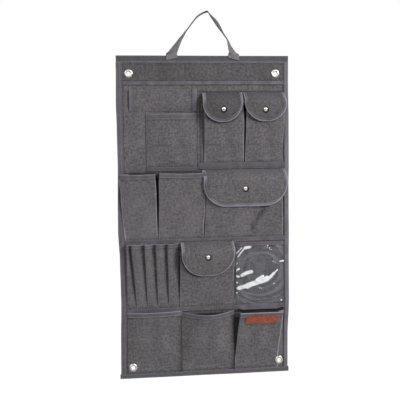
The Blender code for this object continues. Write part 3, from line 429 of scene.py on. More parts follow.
def clothPiece(
    name, surface, aRange, bRange, node, finish="canvas", thickness=canvasThick, step=None, holes=(),
    folds=(), wear=None, soil=None,
):
    # folds are the places across where the cloth is creased: it gets closer columns and a painted highlight
    # line there
    step = step or spacing
    columns = lines(*aRange, step)
    for fold in folds:
        columns = columns[np.abs(columns - fold) > 2.6]
    near = [fold + offset for fold in folds for offset in (-2.0, -1.2, -0.6, 0.0, 0.6, 1.2, 2.0)]
    a, b = np.meshgrid(np.sort(np.concatenate([columns, near])), lines(*bRange, step))
    points = lifted(surface, a, b, 0.0)
    if wear:
        worn = wear(a, b)
    else:
        # a painted highlight line along each fold, as strong as the pocket asks
        rubAndPaintedLight = soil.get("edges", ()) if soil else ()
        worn = unevenDye(a, b) + sum(share * hump(a - fold, 1.1) for fold, share in zip(folds, rubAndPaintedLight))
    # painted shade along seams, on gussets and in shadowed places
    if soil:
        worn = worn - paintedShade(soil, points, a, b, folds)
    keep = None
    if holes:
        middle = (points[:-1, :-1] + points[1:, 1:]) / 2
        keep = np.ones(middle.shape[:2], bool)
        for x, drop in holes:
            keep &= np.hypot(middle[..., 0] - x, middle[..., 2] - drop) > 7.4
    weave = np.stack([a, b, worn], axis=-1)
    return thickGrid(name, points, thickness, finish, "panel", [node], weave, keep)


def foldedTape(
    name, surface, path, inward, front, rear, body, node, half=onCloth, step=None, pucker=0.12, seed=3,
    rub=0.35, marks=(), glow=None,
):
    # a tape folded over a cloth's edge: path runs along the edge, inward points into the cloth
    step = step or spacing
    path = np.asarray(path, float)
    inward = np.broadcast_to(np.asarray(inward, float), path.shape)
    run = runAlong(path)
    section = [(r, half) for r in [*lines(front, 2.4, step), 1.3, 0.4]]
    section += [(-half * math.sin(t), half * math.cos(t)) for t in np.linspace(0.0, math.pi, 6)[1:-1]]
    section += [(r, -half) for r in lines(0.4, rear, step)]
    reach, lift = np.transpose(section)
    inside = path[:, None, :] + inward[:, None, :] * np.maximum(reach, 0.0)[None, :, None]
    into = unit(surface(*(path + inward).T) - surface(*path.T))
    wobble = pucker * waves(run[:, None], reach[None, :] + 50 * np.sign(lift)[None, :], 6.0, seed)
    amount = lift[None, :] + np.sign(lift)[None, :] * np.abs(wobble) * (np.abs(lift) > 0.9 * half)[None, :]
    points = lifted(surface, inside[..., 0], inside[..., 1], amount)
    points = points + into[:, None, :] * np.minimum(reach, 0.0)[None, :, None]
    across = np.concatenate([[0.0], np.cumsum(np.hypot(np.diff(reach), np.diff(lift)))])
    # the fold is painted pale, as wear and painted highlight, the selvedge a little; marks are further
    # painted lines, highlight above nought and shade below: (reach, amount, half width)
    rubAndPaintedLight = rub * (hump(np.maximum(reach, 0.0), 1.3) + 0.35 * hump(reach - front, 1.2))
    for at, share, width in marks:
        rubAndPaintedLight = rubAndPaintedLight + share * hump(reach - at, width)
    rubAndPaintedLight = rubAndPaintedLight[None, :] + 0.1 * waves(run[:, None], 0.5 * across[None, :], 13.0, seed + 2)
    # glow adds painted highlight along the path, and painted shade where it is below nought
    if glow:
        rubAndPaintedLight = rubAndPaintedLight + glow(path)[:, None]
    weave = np.stack(np.broadcast_arrays(run[:, None], across[None, :], rubAndPaintedLight), axis=-1)
    return thickGrid(name, points, tapeThick, "tape", body, [node] if node else (), weave, sharp=70.0)


def flatTape(name, surface, bRange, node, pucker=0.2, seed=5, tone=0.0):
    # a tape laid on the panel from one side binding to the other
    a, b = np.meshgrid(lines(innerLeft, innerRight, spacing), lines(*bRange, 1.6))
    wobble = pucker * waves(a, b * 0.6, 7.0, seed) + 0.5 * pucker * waves(a, b, 15.0, seed + 1)
    points = lifted(surface, a, b, wobble)
    side = np.minimum(b - bRange[0], bRange[1] - b)
    # painted highlight along both edges of the tape
    rubAndPaintedLight = 0.2 * hump(side, 1.0) * (0.6 + 0.4 * waves(a, b, 9.0, seed + 2))
    rubAndPaintedLight = rubAndPaintedLight + tone + 0.14 * waves(a, 0.4 * b, 15.0, seed + 3)
    return thickGrid(name, points, tapeThick, "tape", "panel", [node], np.stack([a, b, rubAndPaintedLight], axis=-1))


def walk(path, pitch):
    # evenly spaced places on a path, and the path's direction there
    path = np.asarray(path, float)
    run = runAlong(path)
    at = np.arange(pitch / 2, run[-1], pitch)
    places = np.stack([np.interp(at, run, path[:, k]) for k in range(path.shape[1])], axis=1)
    k = np.clip(np.searchsorted(run, at) - 1, 0, len(run) - 2)
    return places, unit(np.diff(path, axis=0)[k])


stitchSize = {"pitch": 4.2, "length": 3.1, "width": 0.8, "height": 0.32}


def stitchRows(name, rows, body="panel", finish="thread"):
    # rows are (surface, path, lift); each stitch is a small spindle lying on the cloth
    size = stitchSize
    half = size["length"] / 2
    allPoints, allFaces, start = [], [], 0
    around = [(1, 0), (0, 1), (-1, 0), (0, -1)]
    faces = []
    for k in range(4):
        n = (k + 1) % 4
        faces += [(0, 1 + k, 1 + n), (9, 5 + n, 5 + k), (1 + k, 5 + k, 5 + n, 1 + n)]
    for surface, path, lift in rows:
        places, direction = walk(path, size["pitch"])
        a, b = places[:, 0], places[:, 1]
        centre = lifted(surface, a, b, np.full(len(a), lift))
        ahead = unit(surface(a + direction[:, 0] * 0.8, b + direction[:, 1] * 0.8) - surface(a, b))
        up = normalOf(surface, a, b) * (1.0 if lift >= 0 else -1.0)
        side = np.cross(ahead, up)
        stations = [centre - ahead * half - up * 0.1]
        for reach in (-0.55 * half, 0.55 * half):
            for s, u in around:
                offset = side * (s * size["width"] / 2) + up * (u * size["height"])
                stations.append(centre + ahead * reach + offset)
        stations.append(centre + ahead * half - up * 0.1)
        for k in range(len(a)):
            allFaces += [tuple(start + 10 * k + i for i in f) for f in faces]
        allPoints.append(np.stack(stations, axis=1).reshape(-1, 3))
        start += 10 * len(a)
    points = np.concatenate(allPoints)
    return newPiece(name, points, allFaces, finish, body, weave=points)


def turnedPiece(name, profile, base, normal, body, node=None, steps=48, finish="nickel", aside=(0, 0, 0)):
    # turned about its axis from (radius, height) pairs; a radius of 0 closes it; what stands proud lies aside
    normal = unit(np.asarray(normal, float))
    side = unit(np.cross(normal, [0.0, 0.0, 1.0]))
    other = np.cross(normal, side)
    angle = np.arange(steps) * 2 * math.pi / steps
    points, rings = [], []
    for radius, height in profile:
        centre = base + np.asarray(aside) * (height > 0.8) + normal * height
        around = angle if radius else angle[:1]
        rings.append(list(range(len(points), len(points) + len(around))))
        points += [centre + (side * math.cos(t) + other * math.sin(t)) * radius for t in around]
    faces = []
    closed = len(rings[0]) > 1
    for k in range(len(rings) if closed else len(rings) - 1):
        one, two = rings[k], rings[(k + 1) % len(rings)]
        for s in range(steps):
            t = (s + 1) % steps
            if len(one) == 1:
                faces.append((one[0], two[t], two[s]))
            elif len(two) == 1:
                faces.append((one[s], one[t], two[0]))
            else:
                faces.append((one[s], one[t], two[t], two[s]))
    return newPiece(name, np.array(points), faces, finish, body, [node] if node else (), sharp=35.0)


# The panel

panelSwell = {"humps": [(1.5, 170.0), (0.7, 62.0), (0.28, 24.0)], "calm": 26.0}  # humps are (height, width)


def panelWave(x, drop):
    # the whole panel hangs a little uneven, and lies flat where the eyelets clamp it
    humps = enumerate(panelSwell["humps"], 1)
    wave = sum(height * waves(x, drop, width, seed) for seed, (height, width) in humps)
    for ex, edrop in eyeletPlaces.values():
        wave = wave * (1.0 - np.exp(-((x - ex) ** 2 + (drop - edrop) ** 2) / panelSwell["calm"] ** 2))
    return wave


# (drop, how far the side edge lies to the right of straight) along both sides
sideRuns = {
    "left": [
        (0, 1.0), (40, 1.7), (120, 0.4), (160, 1.5), (280, 2.6), (370, 0.8), (440, 0.4), (490, 3.5),
        (610, 5.3), (640, 4.9), (680, 3.6), (800, 2.2),
    ],
    "right": [
        (0, 2.0), (60, 1.3), (160, 2.5), (280, 2.7), (320, 1.4), (450, 2.2), (500, 1.4), (620, 1.2),
        (650, 0.0), (700, -2.9), (800, -3.0),
    ],
}


def drawnIn(x, drop):
    left = np.interp(drop, *np.transpose(sideRuns["left"]))
    right = np.interp(drop, *np.transpose(sideRuns["right"]))
    return np.where(x < 0, left, right) * smooth((np.abs(x) - 190.0) / 22.0)


def letDown(x, drop):
    # the foot hangs lower to the right, and the top edge sags a little
    return 1.0 * (1.0 - smooth(drop / 16.0)) + (2.2 + 0.0065 * x) * smooth((drop - 780.0) / 18.0)


def flatAt(depth):
    def surface(a, b):
        a, b = np.broadcast_arrays(a, b)
        return np.stack([a + drawnIn(a, b), depth + panelWave(a, b), b + letDown(a, b)], axis=-1)

    return surface


# (from x, to x, from drop, to drop, amount): painted shadow between the pockets and in their mouths
paintedShadowBoxes = [
    (101.0, 107.5, 96.0, 268.0, 0.85), (-122.5, -115.5, 290.0, 450.0, 0.9), (-4.5, 0.5, 310.0, 450.0, 0.8),
    (75.0, 80.5, 530.0, 610.0, 0.6), (-66.5, -62.5, 474.0, 622.0, 0.7), (71.0, 84.0, 640.0, 785.0, 1.0),
    (-199.5, -119.0, 286.5, 297.0, 0.8), (-114.5, -4.0, 286.0, 296.0, 0.6), (-17.5, -15.2, 84.0, 272.0, 0.55),
    (-9.2, -6.6, 92.0, 268.0, 0.6), (84.0, 202.0, 634.0, 660.0, 1.0), (-52.0, 70.0, 644.5, 665.0, 1.0),
    (-64.0, -58.0, 642.0, 790.0, 0.8), (-1.0, 1.5, 100.0, 262.0, 0.3),
]


def paintedShadowAt(points):
    x, drop = points[..., 0], points[..., 2]
    amount = 0 * x
    for left, right, top, foot, share in paintedShadowBoxes:
        inside = smooth((x - left) / 3.0 + 0.5) * smooth((right - x) / 3.0 + 0.5)
        inside = inside * smooth((drop - top) / 4.0 + 0.5) * smooth((foot - drop) / 12.0 + 0.5)
        amount = np.maximum(amount, share * inside)
    return amount


backSurface = flatAt(panelDepth)
facingSurface = flatAt(layerDepth)
tapeSurface = flatAt(tapeDepth)

panelCut = {"left": -215.1, "right": 215.1, "top": 0.9, "bottom": 799.1, "facingBottom": 67.0}
cutSides = (panelCut["left"], panelCut["right"])
headerBand = (63.0, 71.0)  # from drop, to drop
seamsAcross = [-199.6, 203.6]

back = clothPiece(
    "backCloth", backSurface, cutSides, (panelCut["top"], panelCut["bottom"]), "back_panel", step=2.0,
    holes=list(eyeletPlaces.values()),
    # painted shade: dark lines along the side seams and under the tapes, and painted shadow boxes
    soil={
        "depth": 0.4, "reach": 1.8, "across": seamsAcross, "down": [72.6, 88.6, 453.0, 625.4, 639.0],
        "cover": paintedShadowAt,
    },
)
facing = clothPiece(
    "headerFacing", facingSurface, cutSides, (panelCut["top"], panelCut["facingBottom"]), "header_facing",
    holes=list(eyeletPlaces.values())[:2],
    # painted shade over the whole header, and dark lines by its seams
    soil={"depth": 0.2, "reach": 2.2, "across": seamsAcross, "down": [20.5, 62.4], "all": 0.3},
)
headerTape = flatTape("headerTape", tapeSurface, headerBand, "header_tape", tone=0.08)

# sewn is where the stitching along the tape starts and ends; marks are painted lines, highlight above nought
# and shade below: (from the edge, amount, half width)
edgeTapes = {
    "binding_left": {
        "from": (panelCut["left"], 17.3), "to": (panelCut["left"], 789.7), "inward": (1, 0), "seed": 9,
        "sewn": (18.0, 789.0),
        "front": 14.1, "rear": 15.1, "marks": [(3.5, -0.12, 2.5), (7.5, 0.2, 2.0), (13.4, -0.4, 1.4)],
    },
    "binding_right": {
        "from": (panelCut["right"], 17.3), "to": (panelCut["right"], 789.7), "inward": (-1, 0), "seed": 9,
        "sewn": (18.0, 789.0),
        "front": 10.1, "rear": 10.1, "marks": [(4.6, 0.26, 3.2), (9.8, -0.3, 1.0)],
    },
    "binding_top": {
        "from": (-216.0, panelCut["top"]), "to": (216.0, panelCut["top"]), "inward": (0, 1), "seed": 8,
        "sewn": (-213.0, 213.0),
        "front": 16.1, "rear": 16.1, "marks": [(2.5, -0.4, 6.0), (9.5, -0.3, 2.2), (15.6, 0.3, 1.3)],
    },
    "binding_bottom": {
        "from": (-219.0, panelCut["bottom"]), "to": (219.0, panelCut["bottom"]), "inward": (0, -1), "seed": 2,
        "sewn": (-217.0, 217.0),
        "front": 9.1, "rear": 9.1, "marks": [(3.0, -0.2, 3.5)],
    },
}
edgeSurface = flatAt(1.95)  # midway between the tape's two sides
stack = 1.65  # from there to the middle of either side

for node, size in edgeTapes.items():
    path = straight(size["from"], size["to"])
    binding = foldedTape(
        pieceName(node), edgeSurface, path, size["inward"], size["front"], size["rear"], "panel", node,
        half=stack, pucker=0.18, marks=size["marks"], seed=size["seed"],
    )
print("panel made")

eyeletShape = [
    (5.0, 0.1), (5.6, -0.05), (8.6, -0.05), (9.8, 0.05), (10.0, 0.3), (9.8, 0.6), (5.9, 0.6), (5.7, 0.9),
    (5.7, 3.1), (5.9, 3.4), (9.7, 3.4), (10.0, 3.7), (9.7, 4.1), (8.6, 4.5), (7.2, 4.6), (6.0, 4.5),
    (5.3, 4.2), (5.0, 3.7),
]
for node, (x, drop) in eyeletPlaces.items():
    turnedPiece(pieceName(node), eyeletShape, np.array([x, 0.0, drop]), (0, 1, 0), "panel", node)
print("eyelets made")


# Pockets

softMean = ((-1.0, 1.0), (-0.5, 3.0), (0.0, 4.0), (0.5, 3.0), (1.0, 1.0))  # (place, weight out of 12)
gussetDepth = 22.0
footFlat = 14.0  # above its foot a pocket lies flat this far, where it says nothing else


def bendThrough(stations, corners, a, soft):
    # a section through its corners, rounded by the mean of places a little before and after
    corners = np.stack([np.stack(np.broadcast_arrays(x, d, 0 * a)[:2], axis=-1) for x, d in corners])
    length = stations[-1]
    reach = np.clip(np.minimum(a, length - a), 0.0, soft)
    total = 0.0
    for share, weight in softMean:
        t = np.clip(a + share * reach, 0.0, length - 1e-6)
        k = np.searchsorted(stations, t, side="right") - 1
        s = ((t - stations[k]) / (stations[k + 1] - stations[k]))[..., None]
        pick = np.broadcast_to(k[None, ..., None], (1, *k.shape, 2))
        before = np.take_along_axis(corners, pick, axis=0)[0]
        after = np.take_along_axis(corners, pick + 1, axis=0)[0]
        total = total + weight * (before * (1 - s) + after * s)
    return total / 12.0


def slack(width, pocket, amount):
    # folds of loose cloth, calm where it is sewn and puckered along the stitching
    seed = pocket["seed"]

    def field(a, b):
        side = np.minimum(a, width - a)
        foot = pocket["bottom"] - b
        loose = smooth(side / 20.0) * smooth(foot / 26.0)
        long = waves(a + 0.35 * b, 0.4 * b, 30.0, seed) + 0.5 * waves(a - 0.25 * b, 0.5 * b, 14.0, seed + 1)
        pucker = 0.4 * waves(0.3 * a, b, 6.0, seed + 2) * np.exp(-np.maximum(side, 0) / 5.0)
        gather = 0.55 * waves(a, 0.25 * b, 7.5, seed + 3) * np.exp(-np.maximum(foot - 12.0, 0.0) / 16.0)
        return amount * (loose * long + pucker + gather * smooth(side / 6.0))

    return field


def nearest(x, drop, path):
    # distance from the path, in millimetres
    best = 1e9 + 0 * x
    for (x0, d0), (x1, d1) in zip(path, path[1:]):
        run = (x1 - x0) ** 2 + (d1 - d0) ** 2
        t = np.clip(((x - x0) * (x1 - x0) + (drop - d0) * (d1 - d0)) / run, 0.0, 1.0)
        best = np.minimum(best, np.hypot(x - x0 - t * (x1 - x0), drop - d0 - t * (d1 - d0)))
    return best


def wrinkled(base, field, creases=()):
    # creases are (x, drop) to (x, drop), height and half width of single folds
    def surface(a, b):
        a, b = np.broadcast_arrays(np.asarray(a, float), np.asarray(b, float))
        points = base(a, b)
        points = points + normalOf(base, a, b) * field(a, b)[..., None]
        for start, end, height, half in creases:
            points[..., 1] += height * hump(nearest(points[..., 0], points[..., 2], [start, end]), half)
        points[..., 1] += panelWave(points[..., 0], points[..., 2])
        points[..., 0] += drawnIn(points[..., 0], points[..., 2])
        points[..., 2] += letDown(points[..., 0], points[..., 2])
        return points

    return surface


def pocketShare(pocket, drop):
    foot = pocket["bottom"] - pocket.get("foot", footFlat)
    return np.clip((foot - drop) / (foot - pocket["top"]), 0.0, 1.0)


def stationsAt(corners, drop):
    # distance along a section at each of its corners
    places = [(float(x), float(depth)) for x, depth in corners(np.array(drop))]
    steps = [math.dist(one, two) for one, two in zip(places, places[1:])]
    return np.concatenate([[0.0], np.cumsum(steps)])


def gussetSurface(pocket):
    # a flat front with a bellows gusset at each side that turns in behind it; at the foot all of it lies flat
    def corners(drop):
        share = pocketShare(pocket, drop)
        depth = gussetDepth * share
        turn = np.minimum(1.6, 0.3 * depth)
        left, right = pocket["left"], pocket["right"]
        foldLeft, foldRight = pocket.get("foldLeft", 0.8), pocket.get("foldRight", 0.8)
        nearLeft = left + foldLeft + (pocket["insetLeft"] - foldLeft) * share
        nearRight = right - foldRight - (pocket["insetRight"] - foldRight) * share
        depthLeft = layerDepth + depth * pocket.get("leftDepth", 1.0)
        depthRight = layerDepth + depth * pocket.get("rightDepth", 1.0)
        inward = pocket.get("inward", 9.0) * share
        crown = pocket.get("crown", 0.0) * share
        middle = (nearLeft + nearRight) / 2
        return [
            (left + 0 * share, layerDepth + 0 * share),
            (left + inward, layerDepth * 0.52 + depthLeft * 0.48),
            (nearLeft, depthLeft - turn),
            (nearLeft + 0.5, depthLeft - 0.3 * turn),
            (nearLeft + 2.0, depthLeft),
            (nearLeft * 0.7 + middle * 0.3, depthLeft * 0.85 + depthRight * 0.15 + 0.6 * crown),
            (middle, (depthLeft + depthRight) / 2 + crown),
            (nearRight * 0.7 + middle * 0.3, depthRight * 0.85 + depthLeft * 0.15 + 0.6 * crown),
            (nearRight - 2.0, depthRight),
            (nearRight - 0.5, depthRight - 0.3 * turn),
            (nearRight, depthRight - turn),
            (right - inward, layerDepth * 0.52 + depthRight * 0.48),
            (right + 0 * share, layerDepth + 0 * share),
        ]

    stations = stationsAt(corners, pocket["top"])
    width = stations[-1]
    dip = pocket.get("dip", 0.0)

    def base(a, b):
        flat = bendThrough(stations, corners(b), a, 1.3)
        sagging = dip * pocketShare(pocket, b) * np.sin(math.pi * np.clip(a / width, 0, 1)) ** 2
        return np.stack([flat[..., 0], flat[..., 1], b + sagging], axis=-1)

    surface = wrinkled(base, slack(width, pocket, pocket.get("slack", 0.9)), pocket.get("creases", ()))
    return surface, width, [stations[3], stations[9]]


def archSurface(pocket):
    # one cloth that stands off in an arch between its two sewn sides
    width = pocket["right"] - pocket["left"]

    def base(a, b):
        share = pocketShare(pocket, b)
        s = np.clip((a - foldWidth) / (width - 2 * foldWidth), 0.0, 1.0)
        arch = np.sin(math.pi * s)
        depth = pocket.get("layer", layerDepth) + pocket["bulge"] * share**0.7 * arch**0.85
        drop = b + pocket.get("sag", 0.0) * share * arch
        return np.stack([pocket["left"] + a + 0 * share, depth, drop], axis=-1)

    return wrinkled(base, slack(width, pocket, pocket.get("slack", 0.8))), width


def cutlerySurface(pocket):
    # one strip sewn down between its slots; each slot's cloth falls over the seam on its left
    seams = pocket["left"] + np.arange(pocket["slots"] + 1) * pocket["slotWidth"]

    def corners(drop):
        share = pocketShare(pocket, drop)
        full = pocket["bulge"] * share**0.5
        places = [(seams[0] + 0 * share, layerDepth + 0 * share)]
        for k in range(pocket["slots"]):
            depth = full * pocket["fullness"][k]
            start = seams[k] - pocket["overlap"][k] * share
            end = seams[k + 1] - pocket["overlap"][k + 1] * share
            places += [
                (seams[k] * 0.3 + start * 0.7, layerDepth + 0.55 * depth),
                (start + 0.3, layerDepth + 0.86 * depth),
                (start + 2.4, layerDepth + depth),
                (start * 0.62 + end * 0.38, layerDepth + 0.84 * depth),
                (start * 0.3 + end * 0.7, layerDepth + 0.32 * depth),
                (end - 1.0, layerDepth + 0.1 * depth),
                (seams[k + 1] + 0 * share, layerDepth + 0 * share),
            ]
        return places

    stations = stationsAt(corners, pocket["top"])

    def base(a, b):
        flat = bendThrough(stations, corners(b), a, 1.6)
        return np.stack([flat[..., 0], flat[..., 1], b + 0 * a], axis=-1)

    def field(a, b):
        foot = pocket["bottom"] - b
        return 0.4 * waves(a * 0.6, 0.35 * b, 12.0, pocket["seed"]) * smooth(foot / 20.0)

    # each slot's raised left edge gets a painted highlight line
    edges = [stations[7 * k + 2] + 1.0 for k in range(1, pocket["slots"])]
    return wrinkled(base, field), stations[-1], edges


def endsShare(a, folds, gussets):
    # how far a hem has turned in with the gussets, where it is painted dark as shade
    if len(folds) != 2:
        return 0 * a
    return gussets[0] * smooth((folds[0] - a) / 2.0) + gussets[1] * smooth((a - folds[1]) / 2.0)


built = {}


def pocketPieces(
    node, surface, width, pocket, hemNode, finish="canvas", thickness=canvasThick, folds=(), step=None,
    wear=None, rub=0.3, cover=None,
):
    name, hem = pieceName(node), pocket.get("hem", 10.0)
    top, bottom = pocket["top"], pocket["bottom"]
    gussets = pocket.get("gussets", (0.8, 0.8))
    # painted shade along the seams, over the whole pocket by its tone and on the gussets, and painted
    # highlight lines on the folds
    soil = {
        "depth": 0.45, "reach": 1.8, "across": [0.8, width - 0.8], "down": [bottom - 11.0, top + hem + 1.0],
        "all": pocket.get("tone", 0.0), "gussets": gussets, "edges": pocket.get("edges", (0.8,) * len(folds)),
    }
    if cover:
        soil["cover"] = cover
    holes = [eyeletPlaces[holedBy[node]]] if node in holedBy else ()
    cloth = clothPiece(
        name, surface, (0.0, width), (top, bottom), node, finish, thickness, step, holes, folds, wear,
        None if finish == "film" else soil,
    )
    path = straight((0.0, top), (width, top), min(step or spacing, 2.0))
    # the hem gets a painted highlight on its fold and selvedge and painted shade at its turned in ends
    tape = foldedTape(
        name + "Hem", surface, path, (0.0, 1.0), hem, hem * 0.85, "panel", hemNode,
        half=onCloth if finish == "canvas" else onFilm, seed=pocket["seed"] % 7 + 1,
        rub=pocket.get("rub", rub), marks=[(hem - 0.6, pocket.get("selvedge", 0.2), 1.2)],
        glow=lambda path: -0.85 * endsShare(path[:, 0], folds, gussets),
    )
    built[node] = {"surface": surface, "width": width, "pocket": pocket, "hem": hem}


# left and right are the sewn sides; the front's edges lie inside them, by the insets at the mouth and by the
# folds at the foot; seed picks the folds of loose cloth
# several settings below paint shade on gussets and seams, and highlight lines on folds and hems
pockets = {
    "small_pocket_left": {
        "left": -0.5, "right": 103.6, "top": 113.0, "bottom": 274.7, "seed": 4,
        "insetLeft": 0.6, "foldLeft": 4.0, "insetRight": 3.6, "foldRight": 1.4, "slack": 0.8,
        "leftDepth": 0.7, "rightDepth": 0.9, "crown": 2.4, "gussets": (0.0, 0.8),
    },
    "small_pocket_right": {
        "left": 104.6, "right": 202.7, "top": 113.0, "bottom": 274.7, "seed": 9,
        "insetLeft": 2.8, "foldLeft": 1.2, "insetRight": -2.5, "foldRight": 0.5, "slack": 0.8,
        "leftDepth": 0.86, "rightDepth": 0.9, "crown": 2.4,
    },
    "wide_pocket": {
        "left": -0.9, "right": 202.7, "top": 305.0, "bottom": 463.7, "seed": 14,
        "insetLeft": 6.6, "insetRight": 5.0, "slack": 1.1, "leftDepth": 0.84, "rightDepth": 0.86,
        "crown": 2.9,
        "creases": [
            ((154, 372), (117, 430), -4.5, 6.0), ((168, 376), (134, 430), 2.6, 9.0),
            ((30, 400), (52, 436), 1.2, 9.0),
        ],
    },
    "round_pocket": {
        "left": -65.0, "right": 73.7, "top": 485.0, "bottom": 636.2, "seed": 19,
        "insetLeft": 0.7, "insetRight": 0.8, "leftDepth": 0.84, "rightDepth": 0.86, "crown": 2.9,
    },
    "tall_pocket_left": {
        "left": -197.7, "right": -117.2, "top": 290.5, "bottom": 463.7, "seed": 24,
        "insetLeft": -19.5, "foldLeft": -2.0, "insetRight": 7.6, "foldRight": 1.2, "leftDepth": 0.6,
        "gussets": (0.1, 0.8), "edges": (2.4, 0.8), "tone": -0.08, "dip": 2.0,
    },
    "tall_pocket_middle": {
        "left": -116.6, "right": -2.0, "top": 288.6, "bottom": 463.7, "seed": 29,
        "insetLeft": 1.2, "insetRight": -5.5, "dip": 2.5, "tone": -0.04,
    },
    "low_pocket_right": {
        "left": 75.2, "right": 202.7, "top": 646.0, "bottom": 799.1, "foot": 34.0, "seed": 34,
        "insetLeft": 10.0, "insetRight": 5.1, "foldRight": 15.2, "inward": 15.0,
        "gussets": (0.95, 0.0), "edges": (0.8, 2.6), "rub": 0.7, "selvedge": 0.3,
    },
}
# settings here also paint shade on the right end and highlights on the hem
archPockets = {
    "patch_pocket": {
        "left": -143.7, "right": -16.8, "top": 143.0, "bottom": 283.7, "bulge": 9.0, "seed": 39, "hem": 13.0,
        "slack": 0.6,
    },
    "low_pocket_left": {
        "left": -199.4, "right": -60.6, "top": 637.0, "bottom": 799.1, "bulge": 9.0, "foot": 34.0, "seed": 44,
        "soiledEnd": (18.0, 0.4), "selvedge": 0.34, "rub": 0.55,
    },
    "low_pocket_middle": {
        "left": -60.2, "right": 74.5, "top": 640.4, "bottom": 799.1, "bulge": 22.0, "foot": 24.0, "seed": 49,
        "sag": 6.6, "slack": 1.3, "soiledEnd": (18.0, 0.55),
    },
}
holedBy = {"low_pocket_right": "eyelet_bottom_right", "low_pocket_left": "eyelet_bottom_left"}

# corner has the radius at the left and right; snap is the drop from the seam, lifted the turned up corner
# tone paints shade over the whole flap, further settings paint highlights on its tape, and the notches paint
# shade lines beside it
flaps = {
    "small_flap_left": {
        "pocket": "small_pocket_left", "seam": 90.0, "hinge": 2.55, "middle": 51.0, "half": 50.5,
        "length": 74.0, "corner": (46.0, 62.0), "snap": 43.5, "flare": 1.0, "lean": -2.5, "trim": (-1.6, 3.6),
        "seed": 70, "tone": -0.38,
    },
    "small_flap_right": {
        "pocket": "small_pocket_right", "seam": 90.0, "hinge": 2.55, "middle": 154.2, "half": 47.5,
        "length": 73.0, "corner": (64.0, 44.0), "snap": 44.5, "flare": 3.5, "lean": 0.5, "trim": (-3.0, -1.0),
        "seed": 75, "tone": -0.2, "leftGlow": 0.2,
    },
    "wide_flap": {
        "pocket": "wide_pocket", "seam": 282.0, "hinge": 2.55, "middle": 100.7, "half": 102.0, "length": 93.0,
        "corner": (58.0, 56.0), "snap": 49.0, "flare": 2.6, "lean": 1.5, "trim": (-2.5, -1.0),
        "seed": 80, "lifted": 9.0, "footRub": 0.3,
        "notches": [((145.0, 376.5), (161.0, 375.0), 3.6, 0.8), ((152.0, 384.0), (117.0, 430.0), 6.5, 0.26)],
    },
    "round_flap": {
        "pocket": "round_pocket", "seam": 462.0, "hinge": 4.65, "middle": 5.6, "half": 68.1, "length": 86.0,
        "corner": (58.0, 60.0), "snap": 38.0, "flare": 0.6, "flareBy": 1.0, "lean": 0.0, "trim": (1.0, 1.4),
        "seed": 85,
    },
}


def shadowUnderFlap(flap):
    # painted shadow on the cloth under a closed flap and just beyond its edge, most on the left, with a soft
    # painted shade further out
    def cover(points):
        x, drop = points[..., 0], points[..., 2]
        across = np.abs(x - flap["middle"] - flap["lean"]) / (flap["half"] + 1.0)
        down = np.maximum(drop - flap["seam"], 0.0) / (flap["length"] + 2.5)
        place = (across**2.7 + down**2.7) ** (1 / 2.7)
        left = smooth((flap["middle"] - x) / (0.5 * flap["half"]))
        amount = (0.4 + 0.25 * left) * smooth((1.02 + 0.035 * left - place) / 0.06)
        amount = amount + 0.1 * smooth((1.3 - place) / 0.3)
        # and painted shade where it dips in beside the flap's lower edge and folds away from there
        for start, end, half, share in flap.get("notches", ()):
            amount = np.maximum(amount, share * hump(nearest(x, drop, [start, end]), half))
        return amount

    return cover


def endShade(pocket):
    # painted shade on the right end, where it dips into its seam
    reach, amount = pocket["soiledEnd"]
    return lambda points: amount * smooth((points[..., 0] - pocket["right"] + reach) / reach)


flapOver = {flap["pocket"]: flap for flap in flaps.values()}
for node, pocket in pockets.items():
    surface, width, folds = gussetSurface(pocket)
    covered = node in flapOver
    pocketPieces(
        node, surface, width, pocket, None if covered else node + "_hem", folds=folds,
        cover=shadowUnderFlap(flapOver[node]) if covered else None,
    )
for node, pocket in archPockets.items():
    surface, width = archSurface(pocket)
    cover = endShade(pocket) if "soiledEnd" in pocket else None
    pocketPieces(node, surface, width, pocket, node + "_hem", cover=cover)

cutlery = {
    "left": -199.7, "top": 465.4, "bottom": 636.2, "slots": 5, "slotWidth": 26.8, "bulge": 15.0,
    "seed": 54, "hem": 9.0, "fullness": [0.75, 1.0, 0.95, 0.9, 0.95],
    "overlap": [0.0, 14.2, 7.6, 7.0, 3.8, 2.9],
}
surface, width, folds = cutlerySurface(cutlery)
pocketPieces(
    "cutlery_pockets", surface, width, cutlery, "cutlery_hem", folds=folds, step=1.8
)

clear = {
    "left": 80.7, "right": 204.4, "top": 467.9, "bottom": 636.2, "bulge": 5.0, "seed": 59,
    "layer": 2.3, "slack": 1.2, "hem": 8.0,
    # creases in the film: (half width, places along it)
    "creases": [
        (2.0, [(78.5, 584.6), (84.0, 584.4)]),
        (4.8, [(88.0, 584.2), (98.4, 581.0), (108.0, 576.6)]),
        (6.6, [(108.0, 579.0), (119.6, 574.4), (145.7, 567.0), (160.0, 562.0)]),
        (3.6, [(160.0, 562.0), (168.9, 557.9), (178.0, 549.0)]),
        (1.6, [(178.0, 549.0), (186.6, 541.3)]),
        (3.4, [(132.7, 564.1), (148.4, 555.4)]),
        (4.2, [(94.8, 551.5), (106.0, 546.0), (119.1, 542.9)]),
        (0.9, [(74.7, 501.4), (94.9, 481.4)]),
        (1.3, [(84.6, 504.1), (102.4, 481.5)]),
        (3.2, [(103.4, 481.5), (115.7, 479.8)]),
        (0.8, [(79.7, 524.5), (83.6, 519.6)]),
        (2.4, [(77.6, 541.2), (87.0, 535.2)]),
        (2.2, [(77.9, 552.7), (86.8, 554.8)]),
        (1.6, [(78.5, 569.6), (83.6, 569.6)]),
        (1.6, [(161.8, 477.6), (162.4, 477.6)]),
        (1.7, [(81.2, 596.1), (82.2, 596.1)]),
        (1.5, [(197.1, 619.3), (197.6, 619.3)]),
        (1.2, [(194.1, 519.9), (203.0, 519.0)]),
    ],
}


